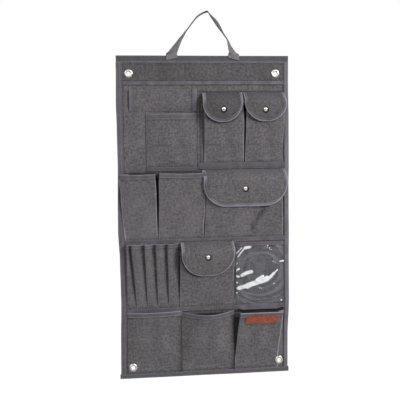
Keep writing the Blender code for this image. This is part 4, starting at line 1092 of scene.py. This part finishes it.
def creased(x, drop):
    # 1 on a crease's crest and 0 beside it
    ragged = 0.5 * waves(x, drop, 5.0, 3)
    amount = 0 * x
    for half, path in clear["creases"]:
        beside = nearest(x, drop, path) + ragged - 0.75 * half
        amount = np.maximum(amount, 1.0 - smooth(beside / (0.5 * half + 0.4)))
    return amount


filmFlat, width = archSurface(clear)


def filmSurface(a, b):
    # the film stands up along its creases
    points = filmFlat(a, b)
    across, down = points[..., 0] - clear["left"], points[..., 2] - clear["top"]
    inside = smooth(np.minimum(across, 124.0 - across) / 16.0) * smooth((150.0 - down) / 18.0)
    ripples = 1.0 - 2.0 * np.abs(waves(0.35 * across + 0.25 * down, 0.8 * (down - 0.5 * across), 9.0, 6))
    points[..., 1] += 1.1 * creased(clear["left"] + a, b + 0 * a) + 0.9 * inside * ripples
    return points


def creaseWhiteAndReflection(a, b):
    # painted white on the creases, as stress whitening and painted highlight, and painted reflection: faint
    # bands in which rippled film throws the light back
    turned = a - 62.0, b - clear["top"] - 70.0
    ring = np.hypot(turned[0], 1.1 * turned[1])
    outer = smooth((ring - 26.0) / 22.0)
    bands = waves(2.6 * ring, 22.0 * np.arctan2(turned[1], turned[0]), 15.0, 8)
    wisps = waves(0.5 * (a + b), 0.9 * (a - b), 16.0, 9)
    haze = outer * (0.01 + 0.13 * smooth(2.2 * bands)) + (1.0 - outer) * 0.1 * smooth(0.5 + 1.6 * wisps)
    return np.maximum(0.95 * creased(clear["left"] + a, b), np.clip(haze, 0.0, 1.0))


pocketPieces(
    "clear_pocket", filmSurface, width, clear, "clear_pocket_tape", "film", filmThick, wear=creaseWhiteAndReflection,
    rub=0.05, step=1.2,
)
print("pockets made")

# The sleeve: sewn along its top and bottom, open at both ends
sleeve = {
    "left": -183.7, "right": -16.8, "top": 82.0, "bottom": 136.0, "bulge": 2.4, "tape": 13.0,
    "flatLong": 62.0, "seed": 64,
}
sleeveWidth = sleeve["right"] - sleeve["left"]


def sleeveBase(a, b):
    loose = sleeve["bottom"] - sleeve["top"] - 2 * foldWidth
    s = np.clip((b - sleeve["top"] - foldWidth) / loose, 0.0, 1.0)
    depth = layerDepth + sleeve["bulge"] * np.sin(math.pi * s) ** 0.85
    return np.stack([sleeve["left"] + a, depth, b + 0 * a], axis=-1)


def sleeveField(a, b):
    loose = smooth(np.minimum(b - sleeve["top"], sleeve["bottom"] - b) / 16.0)
    swell = 0.8 * loose * waves(a, 0.7 * b, 26.0, sleeve["seed"])
    return swell + 0.3 * waves(a, 0.3 * b, 7.0, sleeve["seed"] + 1) * (1 - loose)


sleeveSurface = wrinkled(sleeveBase, sleeveField)
sleeveCloth = clothPiece(
    "sleeveCloth", sleeveSurface, (0.0, sleeveWidth), (sleeve["top"], sleeve["bottom"]), "sleeve", step=2.4
)
for name, node, at, inward in (
    ("sleeveTapeLeft", "sleeve_binding_left", 0.0, 1.0),
    ("sleeveTapeRight", "sleeve_binding_right", sleeveWidth, -1.0),
):
    path = straight((at, sleeve["top"]), (at, sleeve["bottom"]), 2.0)
    tape = foldedTape(
        name, sleeveSurface, path, (inward, 0.0), sleeve["tape"], sleeve["tape"], "panel", node, seed=2,
        # painted highlight and shade lines along the tape
        rub=0.2, marks=[(3.5, 0.2, 1.5), (12.4, -0.7, 1.8)],
    )

# Tapes over the pockets' feet
lowTape = {"top": 626.5, "stand": 2.6, "mouth": (84.0, 198.0)}


def lippedSurface(a, b):
    # the third row's tape stands off the panel over the open mouth under it
    points = tapeSurface(a, b)
    start, end = lowTape["mouth"]
    window = smooth((points[..., 0] - start) / 14.0) * smooth((end - points[..., 0]) / 14.0)
    low = smooth((points[..., 2] - lowTape["top"]) / 10.0)
    points[..., 1] += lowTape["stand"] * window * low
    points[..., 2] += 3.0 * window * low
    return points


rowTapes = {
    "rowTwoBaseTape": {
        "node": "row_2_base_tape", "surface": tapeSurface, "drops": (454.0, 464.0), "pucker": 0.55, "seed": 3,
    },
    "rowThreeBaseTape": {
        "node": "row_3_base_tape", "surface": lippedSurface, "drops": (lowTape["top"], lowTape["top"] + 10.0),
        "pucker": 0.22, "seed": 10,
    },
}
for name, size in rowTapes.items():
    flatTape(name, size["surface"], size["drops"], size["node"], size["pucker"], size["seed"])

# drops under the patch pocket and under the small pockets
stepTape = {
    "from": -143.7, "low": (274.0, 284.0), "step": (-15.6, -14.2), "high": (265.0, 281.0), "to": innerRight,
}


def steppedTape(size):
    # one tape, folded wider where the small pockets begin
    start, end = size["step"]
    x = np.concatenate([lines(size["from"], start, spacing), lines(end, size["to"], spacing)])
    share = (x >= end).astype(float)
    top = size["low"][0] + (size["high"][0] - size["low"][0]) * share
    bottom = size["low"][1] + (size["high"][1] - size["low"][1]) * share
    b = top[None, :] + (bottom - top)[None, :] * np.linspace(0.0, 1.0, 8)[:, None]
    a = np.broadcast_to(x[None, :], b.shape)
    wobble = 0.25 * waves(a, b * 0.6, 7.0, 8) + 0.7 * share[None, :]
    points = lifted(tapeSurface, a, b, wobble)
    # painted shade on the lower edge under the wide flap
    soiled = -0.06 - 0.3 * share[None, :] * smooth((b - 272.0) / 8.0) + 0.12 * waves(a, 0.4 * b, 15.0, 7)
    weave = np.stack([a, b - top[None, :], soiled], axis=-1)
    thickGrid("rowOneBaseTape", points, tapeThick, "tape", "panel", ["row_1_base_tape"], weave)


steppedTape(stepTape)
print("sleeve and tapes made")


# Flaps

shoulderDrop = 19.0
flapLift = 5.4  # from the middle of the pocket's front to the middle of the flap
flapTape = 7.0
flapInset = 0.9  # from the tape's fold to the edge of the cloth in it


def flapShape(flap):
    # from the seam out over the pocket's mouth to the shoulder, then down along the pocket's front
    pocket = pockets[flap["pocket"]]
    slope = gussetDepth / (pocket["bottom"] - footFlat - pocket["top"])
    steep = math.hypot(1.0, slope)
    start = np.array([flap["seam"], flap["hinge"]])
    front = layerDepth + gussetDepth - slope * (flap["seam"] + shoulderDrop - pocket["top"])
    shoulder = np.array([flap["seam"] + shoulderDrop, front + flapLift * steep])
    rise = float(np.linalg.norm(shoulder - start))
    return start, (shoulder - start) / rise, np.array([1.0, -slope]) / steep, steep, rise


def flapSurface(flap):
    start, first, down, steep, rise = flapShape(flap)
    length = rise + (flap["length"] - shoulderDrop) * steep
    half, trim = flap["half"], flap["trim"]

    def profile(along):
        under = start + first * np.minimum(along, rise)[..., None]
        return under + down * np.maximum(along - rise, 0.0)[..., None]

    def base(x, along):
        reach = np.clip(along, 0.0, 9.0)
        place = sum(weight * profile(along + share * reach) for share, weight in softMean) / 12.0
        side = np.clip((np.abs(x) - half + 16.0) / 16.0, 0.0, 1.3)
        curl = 2.0 * side**2 * smooth(along / rise) + 2.0 * smooth((along - length + 16.0) / 20.0)
        shift = flap["lean"] * np.clip(along / rise, 0.0, 1.0)
        shift = shift + (np.where(x < 0, trim[0], 0.0) - np.where(x > 0, trim[1], 0.0)) * np.abs(x) / half
        corner = smooth((x - 0.35 * half) / half) * smooth((along - 0.55 * length) / (0.5 * length))
        depth = place[..., 1] - curl + flap.get("lifted", 0.0) * corner
        return np.stack([flap["middle"] + x + shift, depth, place[..., 0]], axis=-1)

    def field(x, along):
        free = smooth((along - 6.0) / rise)
        edge = smooth((along - 0.45 * length) / (0.5 * length))
        swell = waves(x + 0.3 * along, 0.5 * along, 34.0, flap["seed"]) * 0.8
        flutter = waves(x, 0.4 * along, 17.0, flap["seed"] + 1) * 0.6
        pucker = 0.35 * waves(x, along, 7.0, flap["seed"] + 2) * (1 - free)
        return free * (swell * 0.6 + flutter * edge) + pucker

    return wrinkled(base, field), rise, length


def flapOutline(flap, rise, length, side):
    # (distance from the middle line, distance along) from the seam down to the middle of the lower edge
    corner = flap["corner"][0 if side < 0 else 1]
    reachEnd = length - flapInset
    half = flap["half"] - flapInset
    flare = flap["flare"]
    flat = max(half + flare - corner, 0.0)
    radius = half + flare - flat
    arcStart = max(reachEnd - (corner - flapInset), rise + 2.0)
    outline = []
    for s in np.linspace(0.0, 1.0, 11):
        outline.append((half + 0.8 * flare * min(1.0, s / flap.get("flareBy", 0.3)), rise * s))
    for s in np.linspace(0.0, 1.0, 5)[1:]:
        outline.append((half + (0.8 + 0.2 * s) * flare, rise + (arcStart - rise) * s))
    for turn in np.linspace(0.0, math.pi / 2, 15)[1:]:
        outline.append((flat + radius * math.cos(turn), arcStart + (reachEnd - arcStart) * math.sin(turn)))
    return np.array(outline)


def sideGlow(path, flap):
    # painted highlight over the tape's whole width high on the left side, less on the right, and along the
    # foot where the flap asks for it
    high = smooth((0.62 * flap["length"] - path[:, 1]) / (0.3 * flap["length"]))
    side = path[:, 0] / flap["half"]
    foot = smooth((path[:, 1] - 0.9 * flap["length"]) / (0.12 * flap["length"]))
    left, right = smooth((-side - 0.7) / 0.2), smooth((side - 0.7) / 0.2)
    amount = high * (flap.get("leftGlow", 0.5) * left + 0.26 * right)
    return amount + flap.get("footRub", 0.0) * foot


def unitInward(path, centre):
    # unit vectors square to the path that point to the centre's side
    along = unit(np.gradient(path, axis=0))
    inward = np.stack([-along[:, 1], along[:, 0]], axis=1)
    flip = np.sign(((centre - path) * inward).sum(axis=1))
    flip[flip == 0] = 1
    return inward * flip[:, None]


def flapEdge(sides, skip):
    # evenly spaced along the free edge; skip is how many of the outline's points are left out by the seam
    path = np.concatenate([sides[1][skip:], sides[-1][::-1][:-skip] * np.array([-1.0, 1.0])])
    run = runAlong(path)
    at = lines(0.0, run[-1], 2.2)
    return np.stack([np.interp(at, run, path[:, k]) for k in range(2)], axis=1)


def bendWith(piece, node):
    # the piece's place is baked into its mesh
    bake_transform(piece)


capShape = [
    (0.0, -1.3), (4.3, -1.3), (4.3, -2.7), (6.3, -2.7), (6.6, -2.4), (6.6, -0.9), (2.0, -0.7), (2.0, 0.75),
    (5.3, 0.75), (5.4, 1.0), (5.4, 2.6), (4.9, 3.7), (3.7, 4.6), (2.0, 5.0), (0.0, 5.1),
]
grooveShape = [(2.0, 0.7), (2.0, 1.8), (6.6, 1.8), (7.5, 1.5), (7.6, 1.2), (7.6, 0.7)]
# the dome is pressed a little off the middle, up and to the left, and the ring the other way, so the painted
# shade shows as a crescent on the lower right
domeAside = np.array([-1.6, 0.0, -0.96])
grooveAside = np.array([0.16, 0.0, 0.096])
studShape = [
    (0.0, -1.25), (5.8, -1.25), (6.0, -1.0), (6.0, -0.75), (2.0, -0.75), (2.0, 0.75), (6.0, 0.75), (6.0, 1.0),
    (5.8, 1.25), (2.7, 1.25), (3.2, 2.0), (3.1, 2.5), (2.6, 2.85), (0.0, 2.85),
]


def seatOn(surface, a, b):
    a, b = np.array(a), np.array(b)
    return surface(a, b), normalOf(surface, a, b)


def findAcross(surface, width, drop, x):
    # how far across a cloth the place with this x is, at this drop
    a = np.linspace(width * 0.08, width * 0.92, 300)
    points = surface(a, np.full_like(a, drop))
    return float(np.interp(x, points[:, 0], a))


def flapCloth(node, flap, surface, sides, length):
    ends = length - flapInset - np.array([4.0, 3.0, 2.0, 1.2, 0.6, 0.2, 0.0])
    b = np.concatenate([lines(0.0, length - 6.0, 2.6), ends])
    share = np.linspace(-1.0, 1.0, int(2 * flap["half"] / spacing) | 1)[None, :]
    reach = {side: np.interp(b, sides[side][:, 1], sides[side][:, 0])[:, None] for side in sides}
    a = np.where(share < 0, reach[-1], reach[1]) * share
    b = np.broadcast_to(b[:, None], a.shape)
    # painted shade at the seam, under the shoulder's edge, and over the whole flap by its tone
    dyeAndShade = flap.get("tone", 0.0) + unevenDye(a, b) - 0.28 * np.exp(-b / 9.0)
    weave = np.stack([a, b, dyeAndShade], axis=-1)
    points = lifted(surface, a, b, 0.0)
    return thickGrid(pieceName(node), points, canvasThick, "canvas", None, [node], weave)


def flapSnap(node, flap, surface, rise):
    steep = flapShape(flap)[3]
    body = node + "_assembly"
    name = pieceName(node)
    centre, normal = seatOn(surface, 0.0, rise + (flap["snap"] - shoulderDrop) * steep)
    capNode = node + "_snap_cap"
    turnedPiece(name + "SnapCap", capShape, centre, normal, body, capNode, finish="cap", aside=domeAside)
    groove = centre + grooveAside
    turnedPiece(name + "SnapGroove", grooveShape, groove, normal, body, steps=32, finish="tarnish")
    mate = built[flap["pocket"]]
    drop = flap["seam"] + flap["snap"]
    across = findAcross(mate["surface"], mate["width"], drop, float(centre[0]))
    onPocket, pocketNormal = seatOn(mate["surface"], across, drop)
    stud = flap["pocket"].replace("pocket", "snap_stud")
    turnedPiece(name.replace("Flap", "") + "SnapStud", studShape, onPocket, pocketNormal, "panel", stud, 32)


flapsMade = {}
for node, flap in flaps.items():
    surface, rise, length = flapSurface(flap)
    sides = {side: flapOutline(flap, rise, length, side) for side in (-1, 1)}
    cloth = flapCloth(node, flap, surface, sides, length)
    bendWith(cloth, node)
    path = flapEdge(sides, 1)
    tape = foldedTape(
        pieceName(node) + "Binding", surface, path, unitInward(path, np.array([0.0, rise * 0.5])), flapTape,
        # the binding gets a painted highlight on its fold and a painted shade line along its inner edge
        flapTape, None, node + "_binding", seed=6, step=2.0, rub=0.8, marks=[(flapTape, -0.25, 1.2)],
        glow=lambda path, flap=flap: sideGlow(path, flap),
    )
    bendWith(tape, node)
    flapSnap(node, flap, surface, rise)
    flapsMade[node] = {
        "surface": surface, "rise": rise, "length": length, "sides": sides, "cloth": cloth, "tape": tape,
    }
print("flaps made")

# The leather patch on the last pocket, left bare
label = {
    "left": 99.0, "right": 182.5, "top": 654.0, "height": 19.5, "thick": 1.2, "corner": 3.6, "lift": 1.95,
}
labelUnder, labelWidth = (built["low_pocket_right"][key] for key in ("surface", "width"))
labelFrom, labelTo = (
    findAcross(labelUnder, labelWidth, label["top"] + 10.0, label[side]) for side in ("left", "right")
)
s, t = np.meshgrid(np.linspace(0, 1, 36), np.linspace(0, 1, 11))
cornerX, cornerY = label["corner"] / (label["right"] - label["left"]), label["corner"] / label["height"]
pull = np.clip(1 - np.minimum(s, 1 - s) / cornerX, 0, 1) * np.clip(1 - np.minimum(t, 1 - t) / cornerY, 0, 1)
s = s + np.sign(0.5 - s) * pull * cornerX * 0.3
t = t + np.sign(0.5 - t) * pull * cornerY * 0.3
a = labelFrom + (labelTo - labelFrom) * s
b = label["top"] + label["height"] * t
points = lifted(labelUnder, a, b, label["lift"])
weave = np.stack([a, b, 0 * a], axis=-1)
leather = thickGrid("leatherLabel", points, label["thick"], "leather", "panel", ["leather_label"], weave)

# The handle: one strip of webbing, its two ends sewn on the top binding
handle = {
    "width": 28.0, "thick": 1.6, "rear": 5.0, "tabSlant": 7.0, "yaw": 10.0, "foot": 78.0,
    # (x, rise above the top edge, twist from 0 to 1, depth) from one sewn end to the other
    "route": [
        (-78.0, 3.0, 0.14, 4.8), (-74.9, 8.0, 0.46, 6.4), (-71.4, 14.0, 0.56, 8.5), (-64.9, 25.0, 0.72, 11.0),
        (-58.0, 36.9, 0.84, 13.5), (-51.1, 46.5, 0.91, 15.0), (-44.9, 56.0, 0.975, 16.0),
        (-37.0, 65.8, 1.01, 16.0), (-25.4, 81.0, 1.0, 16.0), (-14.8, 93.4, 1.0, 16.0),
        (-2.7, 101.3, 1.0, 16.0), (5.5, 104.8, 1.0, 16.0), (10.5, 106.0, 1.0, 16.0), (15.4, 101.6, 0.9, 16.0),
        (20.0, 95.6, 0.82, 16.0), (28.5, 85.8, 0.74, 16.0), (36.4, 73.8, 0.745, 16.0),
        (43.9, 61.6, 0.81, 16.0), (48.8, 54.4, 0.86, 16.0), (54.3, 47.1, 0.87, 15.0),
        (60.9, 37.6, 0.89, 14.0), (66.0, 25.5, 0.81, 11.5), (71.6, 13.6, 0.66, 8.5), (75.3, 7.6, 0.55, 6.4),
        (78.0, 3.0, 0.18, 4.8),
    ],
}


def smoothRoute(keys, each):
    # a curve through every key
    keys = np.asarray(keys, float)
    padded = np.concatenate([2 * keys[:1] - keys[1:2], keys, 2 * keys[-1:] - keys[-2:-1]])
    result = []
    for k in range(1, len(padded) - 2):
        p0, p1, p2, p3 = padded[k - 1 : k + 3]
        bend = 2 * p0 - 5 * p1 + 4 * p2 - p3
        swing = 3 * p1 - p0 - 3 * p2 + p3
        for t in np.arange(each) / each:
            result.append(0.5 * (2 * p1 + (p2 - p0) * t + bend * t**2 + swing * t**3))
    result.append(keys[-1])
    return np.array(result)


def makeHandle(size):
    route = smoothRoute(size["route"], 5)
    lead = np.array([[-size["foot"], rise, 0.0, size["rear"]] for rise in (-9.0, -6.5, -4.0, -1.5, 1.0)])
    tail = lead[::-1] * np.array([-1.0, 1.0, 1.0, 1.0])
    route = np.concatenate([lead, route, tail])
    centres = np.stack([route[:, 0], route[:, 3], -route[:, 1]], axis=1)
    yaw = math.radians(size["yaw"])
    sideways = np.array([math.sin(yaw), -math.cos(yaw), 0.0])
    turn = route[:, 2:3] * math.pi / 2
    # its two edges stay level with each other while the twist turns them
    acrossLine = np.cos(turn) * np.array([1.0, 0.0, 0.0]) + np.sin(turn) * sideways
    spread = np.linspace(-0.5, 0.5, 13)
    points = centres[:, None, :] + acrossLine[:, None, :] * (spread * size["width"])[None, :, None]
    # each sewn end is cut on a slant
    for k in range(len(lead)):
        for row, side in ((k, 1), (len(route) - 1 - k, -1)):
            share = (1.0 + centres[row, 2]) / 10.0
            points[row, :, 2] -= share * size["tabSlant"] * (spread * side + 0.1)
    # painted shade on the top and the right side, most on the inner half, where the webbing faces down and
    # away
    shadedSpan = smooth((centres[:, 0] + 4.0) / 12.0) * smooth((66.0 - centres[:, 0]) / 16.0)
    soiled = -0.75 * shadedSpan[:, None] * (1.0 - 0.5 * smooth(spread * 5.0))[None, :]
    along = runAlong(centres)[:, None]
    weave = np.stack(np.broadcast_arrays(along, (spread * size["width"])[None, :], soiled), axis=-1)
    nodes = ["handle_webbing", "handle_tab_left", "handle_tab_right"]
    piece = thickGrid("handleWebbing", points, size["thick"], "webbing", None, nodes, weave, behind=True)
    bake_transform(piece)


makeHandle(handle)
print("handle made")

# Stitching
stitchInset = 1.4  # from a tape's edge
onTape = 0.42  # from a tape's middle to the middle of a stitch


def edgeRows(surface, drops, lift, start=innerLeft + 1.0, end=innerRight - 1.0):
    # a row of stitches along each edge of a tape
    levels = (drops[0] + stitchInset, drops[1] - stitchInset)
    return [(surface, [(start, level), (end, level)], lift) for level in levels]


panelRows = edgeRows(tapeSurface, headerBand, onTape + 0.1)
for size in rowTapes.values():
    panelRows += edgeRows(size["surface"], size["drops"], onTape + 0.1)
panelRows += edgeRows(tapeSurface, stepTape["low"], onTape + 0.1, -142.0, -17.0)
panelRows += edgeRows(tapeSurface, stepTape["high"], onTape + 0.8, -12.0)
for size in edgeTapes.values():
    inward = np.array(size["inward"], float)
    across = np.array(size["from"]) * np.abs(inward) + inward * (size["rear"] - stitchInset)
    path = straight(*(across + np.abs(inward[::-1]) * end for end in size["sewn"]))
    for lift in (stack + onTape + 0.15, -(stack + onTape + 0.15)):
        panelRows.append((edgeSurface, path, lift))
stitchRows("panelStitches", panelRows)

for node, piece in built.items():
    pocket, surface, width = piece["pocket"], piece["surface"], piece["width"]
    hemLine = pocket["top"] + piece["hem"] - stitchInset
    over = (onFilm if node == "clear_pocket" else onCloth) + onTape + 0.1
    rows = [(surface, straight((1.5, hemLine), (width - 1.5, hemLine), 2.0), over)]
    if node in ("patch_pocket", "clear_pocket"):
        for across in (1.6, width - 1.6):
            path = straight((across, pocket["top"] + 1.0), (across, pocket["bottom"] - 10.0))
            rows.append((surface, path, 0.6))
    stitchRows(pieceName(node) + "Stitches", rows)

for node, flap in flaps.items():
    piece, name = flapsMade[node], pieceName(node)
    surface, sides = piece["surface"], piece["sides"]
    path = flapEdge(sides, 2)
    path = path + unitInward(path, np.array([0.0, piece["rise"] * 0.5])) * (flapTape - stitchInset)
    over = onCloth + onTape + 0.15
    stitches = stitchRows(name + "Stitches", [(surface, path, over), (surface, path, -over)], None)
    bendWith(stitches, node)
    level = flap["seam"] - 1.6
    seamLine = [(flap["middle"] - flap["half"] - 2.0, level), (flap["middle"] + flap["half"], level)]
    under = tapeSurface if node == "round_flap" else backSurface
    stitchRows(name + "Seam", [(under, seamLine, onTape + 0.4)], "panel", "darkThread")
    area = sum(np.trapz(side[:, 0], side[:, 1]) for side in (sides[1], sides[-1])) * mm**2

sleeveLines = []
for drop in (sleeve["top"] + stitchInset, sleeve["bottom"] - stitchInset):
    sleeveLines.append((sleeveSurface, [(1.0, drop), (sleeveWidth - 1.0, drop)], 0.6))
for across in (sleeve["tape"] - stitchInset, sleeveWidth - sleeve["tape"] + stitchInset):
    path = straight((across, sleeve["top"] + 2.0), (across, sleeve["bottom"] - 2.0))
    sleeveLines.append((sleeveSurface, path, onCloth + onTape + 0.1))
sleeveStitches = stitchRows("sleeveStitches", sleeveLines)


def tabSurface(a, b):
    return np.stack([a + 0 * b, handle["rear"] + 0 * a + 0 * b, b + 0 * a], axis=-1)


def boxRound(left, right, top, bottom, slant=0.0):
    # once round a sewn box, whose lower edge may slant
    corners = [(left, top), (right, top), (right, bottom + slant), (left, bottom - slant)]
    return corners + corners[:1]


tabRows = []
for side in (-1, 1):
    x = handle["foot"] * side
    tabRows.append((tabSurface, boxRound(x - 11.5, x + 11.5, 1.5, 6.0, 3.0 * side), 0.8))
stitchRows("tabStitches", tabRows)

labelInset = 2.2
labelTop, labelBottom = label["top"] + labelInset, label["top"] + label["height"] - labelInset
labelBox = boxRound(labelFrom + labelInset, labelTo - labelInset, labelTop, labelBottom)
labelPath = np.concatenate([straight(one, two, 2.0) for one, two in zip(labelBox, labelBox[1:])])
labelRows = [(labelUnder, labelPath, label["lift"] + label["thick"] / 2 + 0.1)]
stitchRows("labelStitches", labelRows, "panel", "darkThread")

print("stitching made")

# Camera, lights and stage

view = {"place": (-0.4135, -2.2883, -0.1409), "azimuth": 10.0, "elevation": 4.26, "roll": -0.63, "lens": 83.8}


def makeCamera(settings):
    azimuth, elevation, roll = (math.radians(settings[key]) for key in ("azimuth", "elevation", "roll"))
    level = math.cos(elevation)
    backward = Vector((-math.sin(azimuth) * level, -math.cos(azimuth) * level, math.sin(elevation)))
    right = Vector((0, 0, 1)).cross(backward).normalized()
    up = backward.cross(right)
    rolledRight = right * math.cos(roll) + up * math.sin(roll)
    rolledUp = up * math.cos(roll) - right * math.sin(roll)
    data = bpy.data.cameras.new("photoCamera")
    data.lens = settings["lens"]
    data.sensor_width = 36.0
    data.clip_start = 0.05
    camera = bpy.data.objects.new("photoCamera", data)
    turn = Matrix((rolledRight, rolledUp, backward)).transposed()
    camera.matrix_world = Matrix.Translation(settings["place"]) @ turn.to_4x4()
    bpy.context.scene.collection.objects.link(camera)
    bpy.context.scene.camera = camera


makeCamera(view)

lamps = {
    "keyLamp": {"place": (1.9, -2.1, 1.0), "size": 1.4, "watts": 74.0},
    "fillLamp": {"place": (-1.8, -2.6, 1.2), "size": 1.6, "watts": 17.0},
}
aim = Vector((0, 0, -0.35))
for name, size in lamps.items():
    data = bpy.data.lights.new(name, "AREA")
    data.shape = "SQUARE"
    data.size = size["size"]
    data.energy = size["watts"]
    lamp = bpy.data.objects.new(name, data)
    lamp.location = size["place"]
    lamp.rotation_euler = (aim - lamp.location).to_track_quat("-Z", "Y").to_euler()
    bpy.context.scene.collection.objects.link(lamp)

# light is how bright the room is to the object; the camera and reflections see it plain white
room = {"light": 0.13, "floorDrop": 1.25, "floorReach": 14.0, "glow": 1.12, "glowShare": 0.9}
floorLook = {"colour": "#f3f3f3", "roughness": 0.9}
white = linearColour("#ffffff")


def makeRoom(settings):
    world = bpy.data.worlds.new("paleRoom")
    bpy.context.scene.world = world
    world.use_nodes = True
    tree = world.node_tree
    seen = addNode(tree, "LightPath", give="Is Camera Ray")
    for ray in ("Is Glossy Ray", "Is Transmission Ray"):
        other = addNode(tree, "LightPath", give=ray)
        seen = addNode(tree, "Math", {"operation": "MAXIMUM"}, {0: seen, 1: other})
    strength = addNode(tree, "MapRange", {"To Min": settings["light"], "To Max": 1.0}, {"Value": seen})
    background = tree.nodes["Background"]
    background.inputs["Color"].default_value = white
    tree.links.new(strength, background.inputs["Strength"])


def makeFloor(settings):
    reach, height = settings["floorReach"], -settings["floorDrop"]
    corners = [(x * reach, y * reach, height) for x, y in ((-1, -1), (1, -1), (1, 1), (-1, 1))]
    mesh = bpy.data.meshes.new("floor")
    mesh.from_pydata(corners, [], [(0, 1, 2, 3)])
    floor = bpy.data.objects.new("floor", mesh)
    bpy.context.scene.collection.objects.link(floor)
    colour = {"Base Color": linearColour(floorLook["colour"])}
    material, tree, shader = newMaterial("paleFloor", floorLook, colour)
    glow = addNode(tree, "Emission", {"Color": white, "Strength": settings["glow"]})
    seen = addNode(tree, "LightPath", give="Is Camera Ray")
    share = addNode(tree, "Math", {"operation": "MULTIPLY", 1: settings["glowShare"]}, {0: seen})
    mixed = addNode(tree, "MixShader", {}, {0: share, 1: shader.outputs[0], 2: glow})
    tree.links.new(mixed, tree.nodes["Material Output"].inputs["Surface"])
    mesh.materials.append(material)


makeRoom(room)
makeFloor(room)
bpy.context.scene.view_settings.view_transform = "Standard"
print("camera, lamps and floor made")
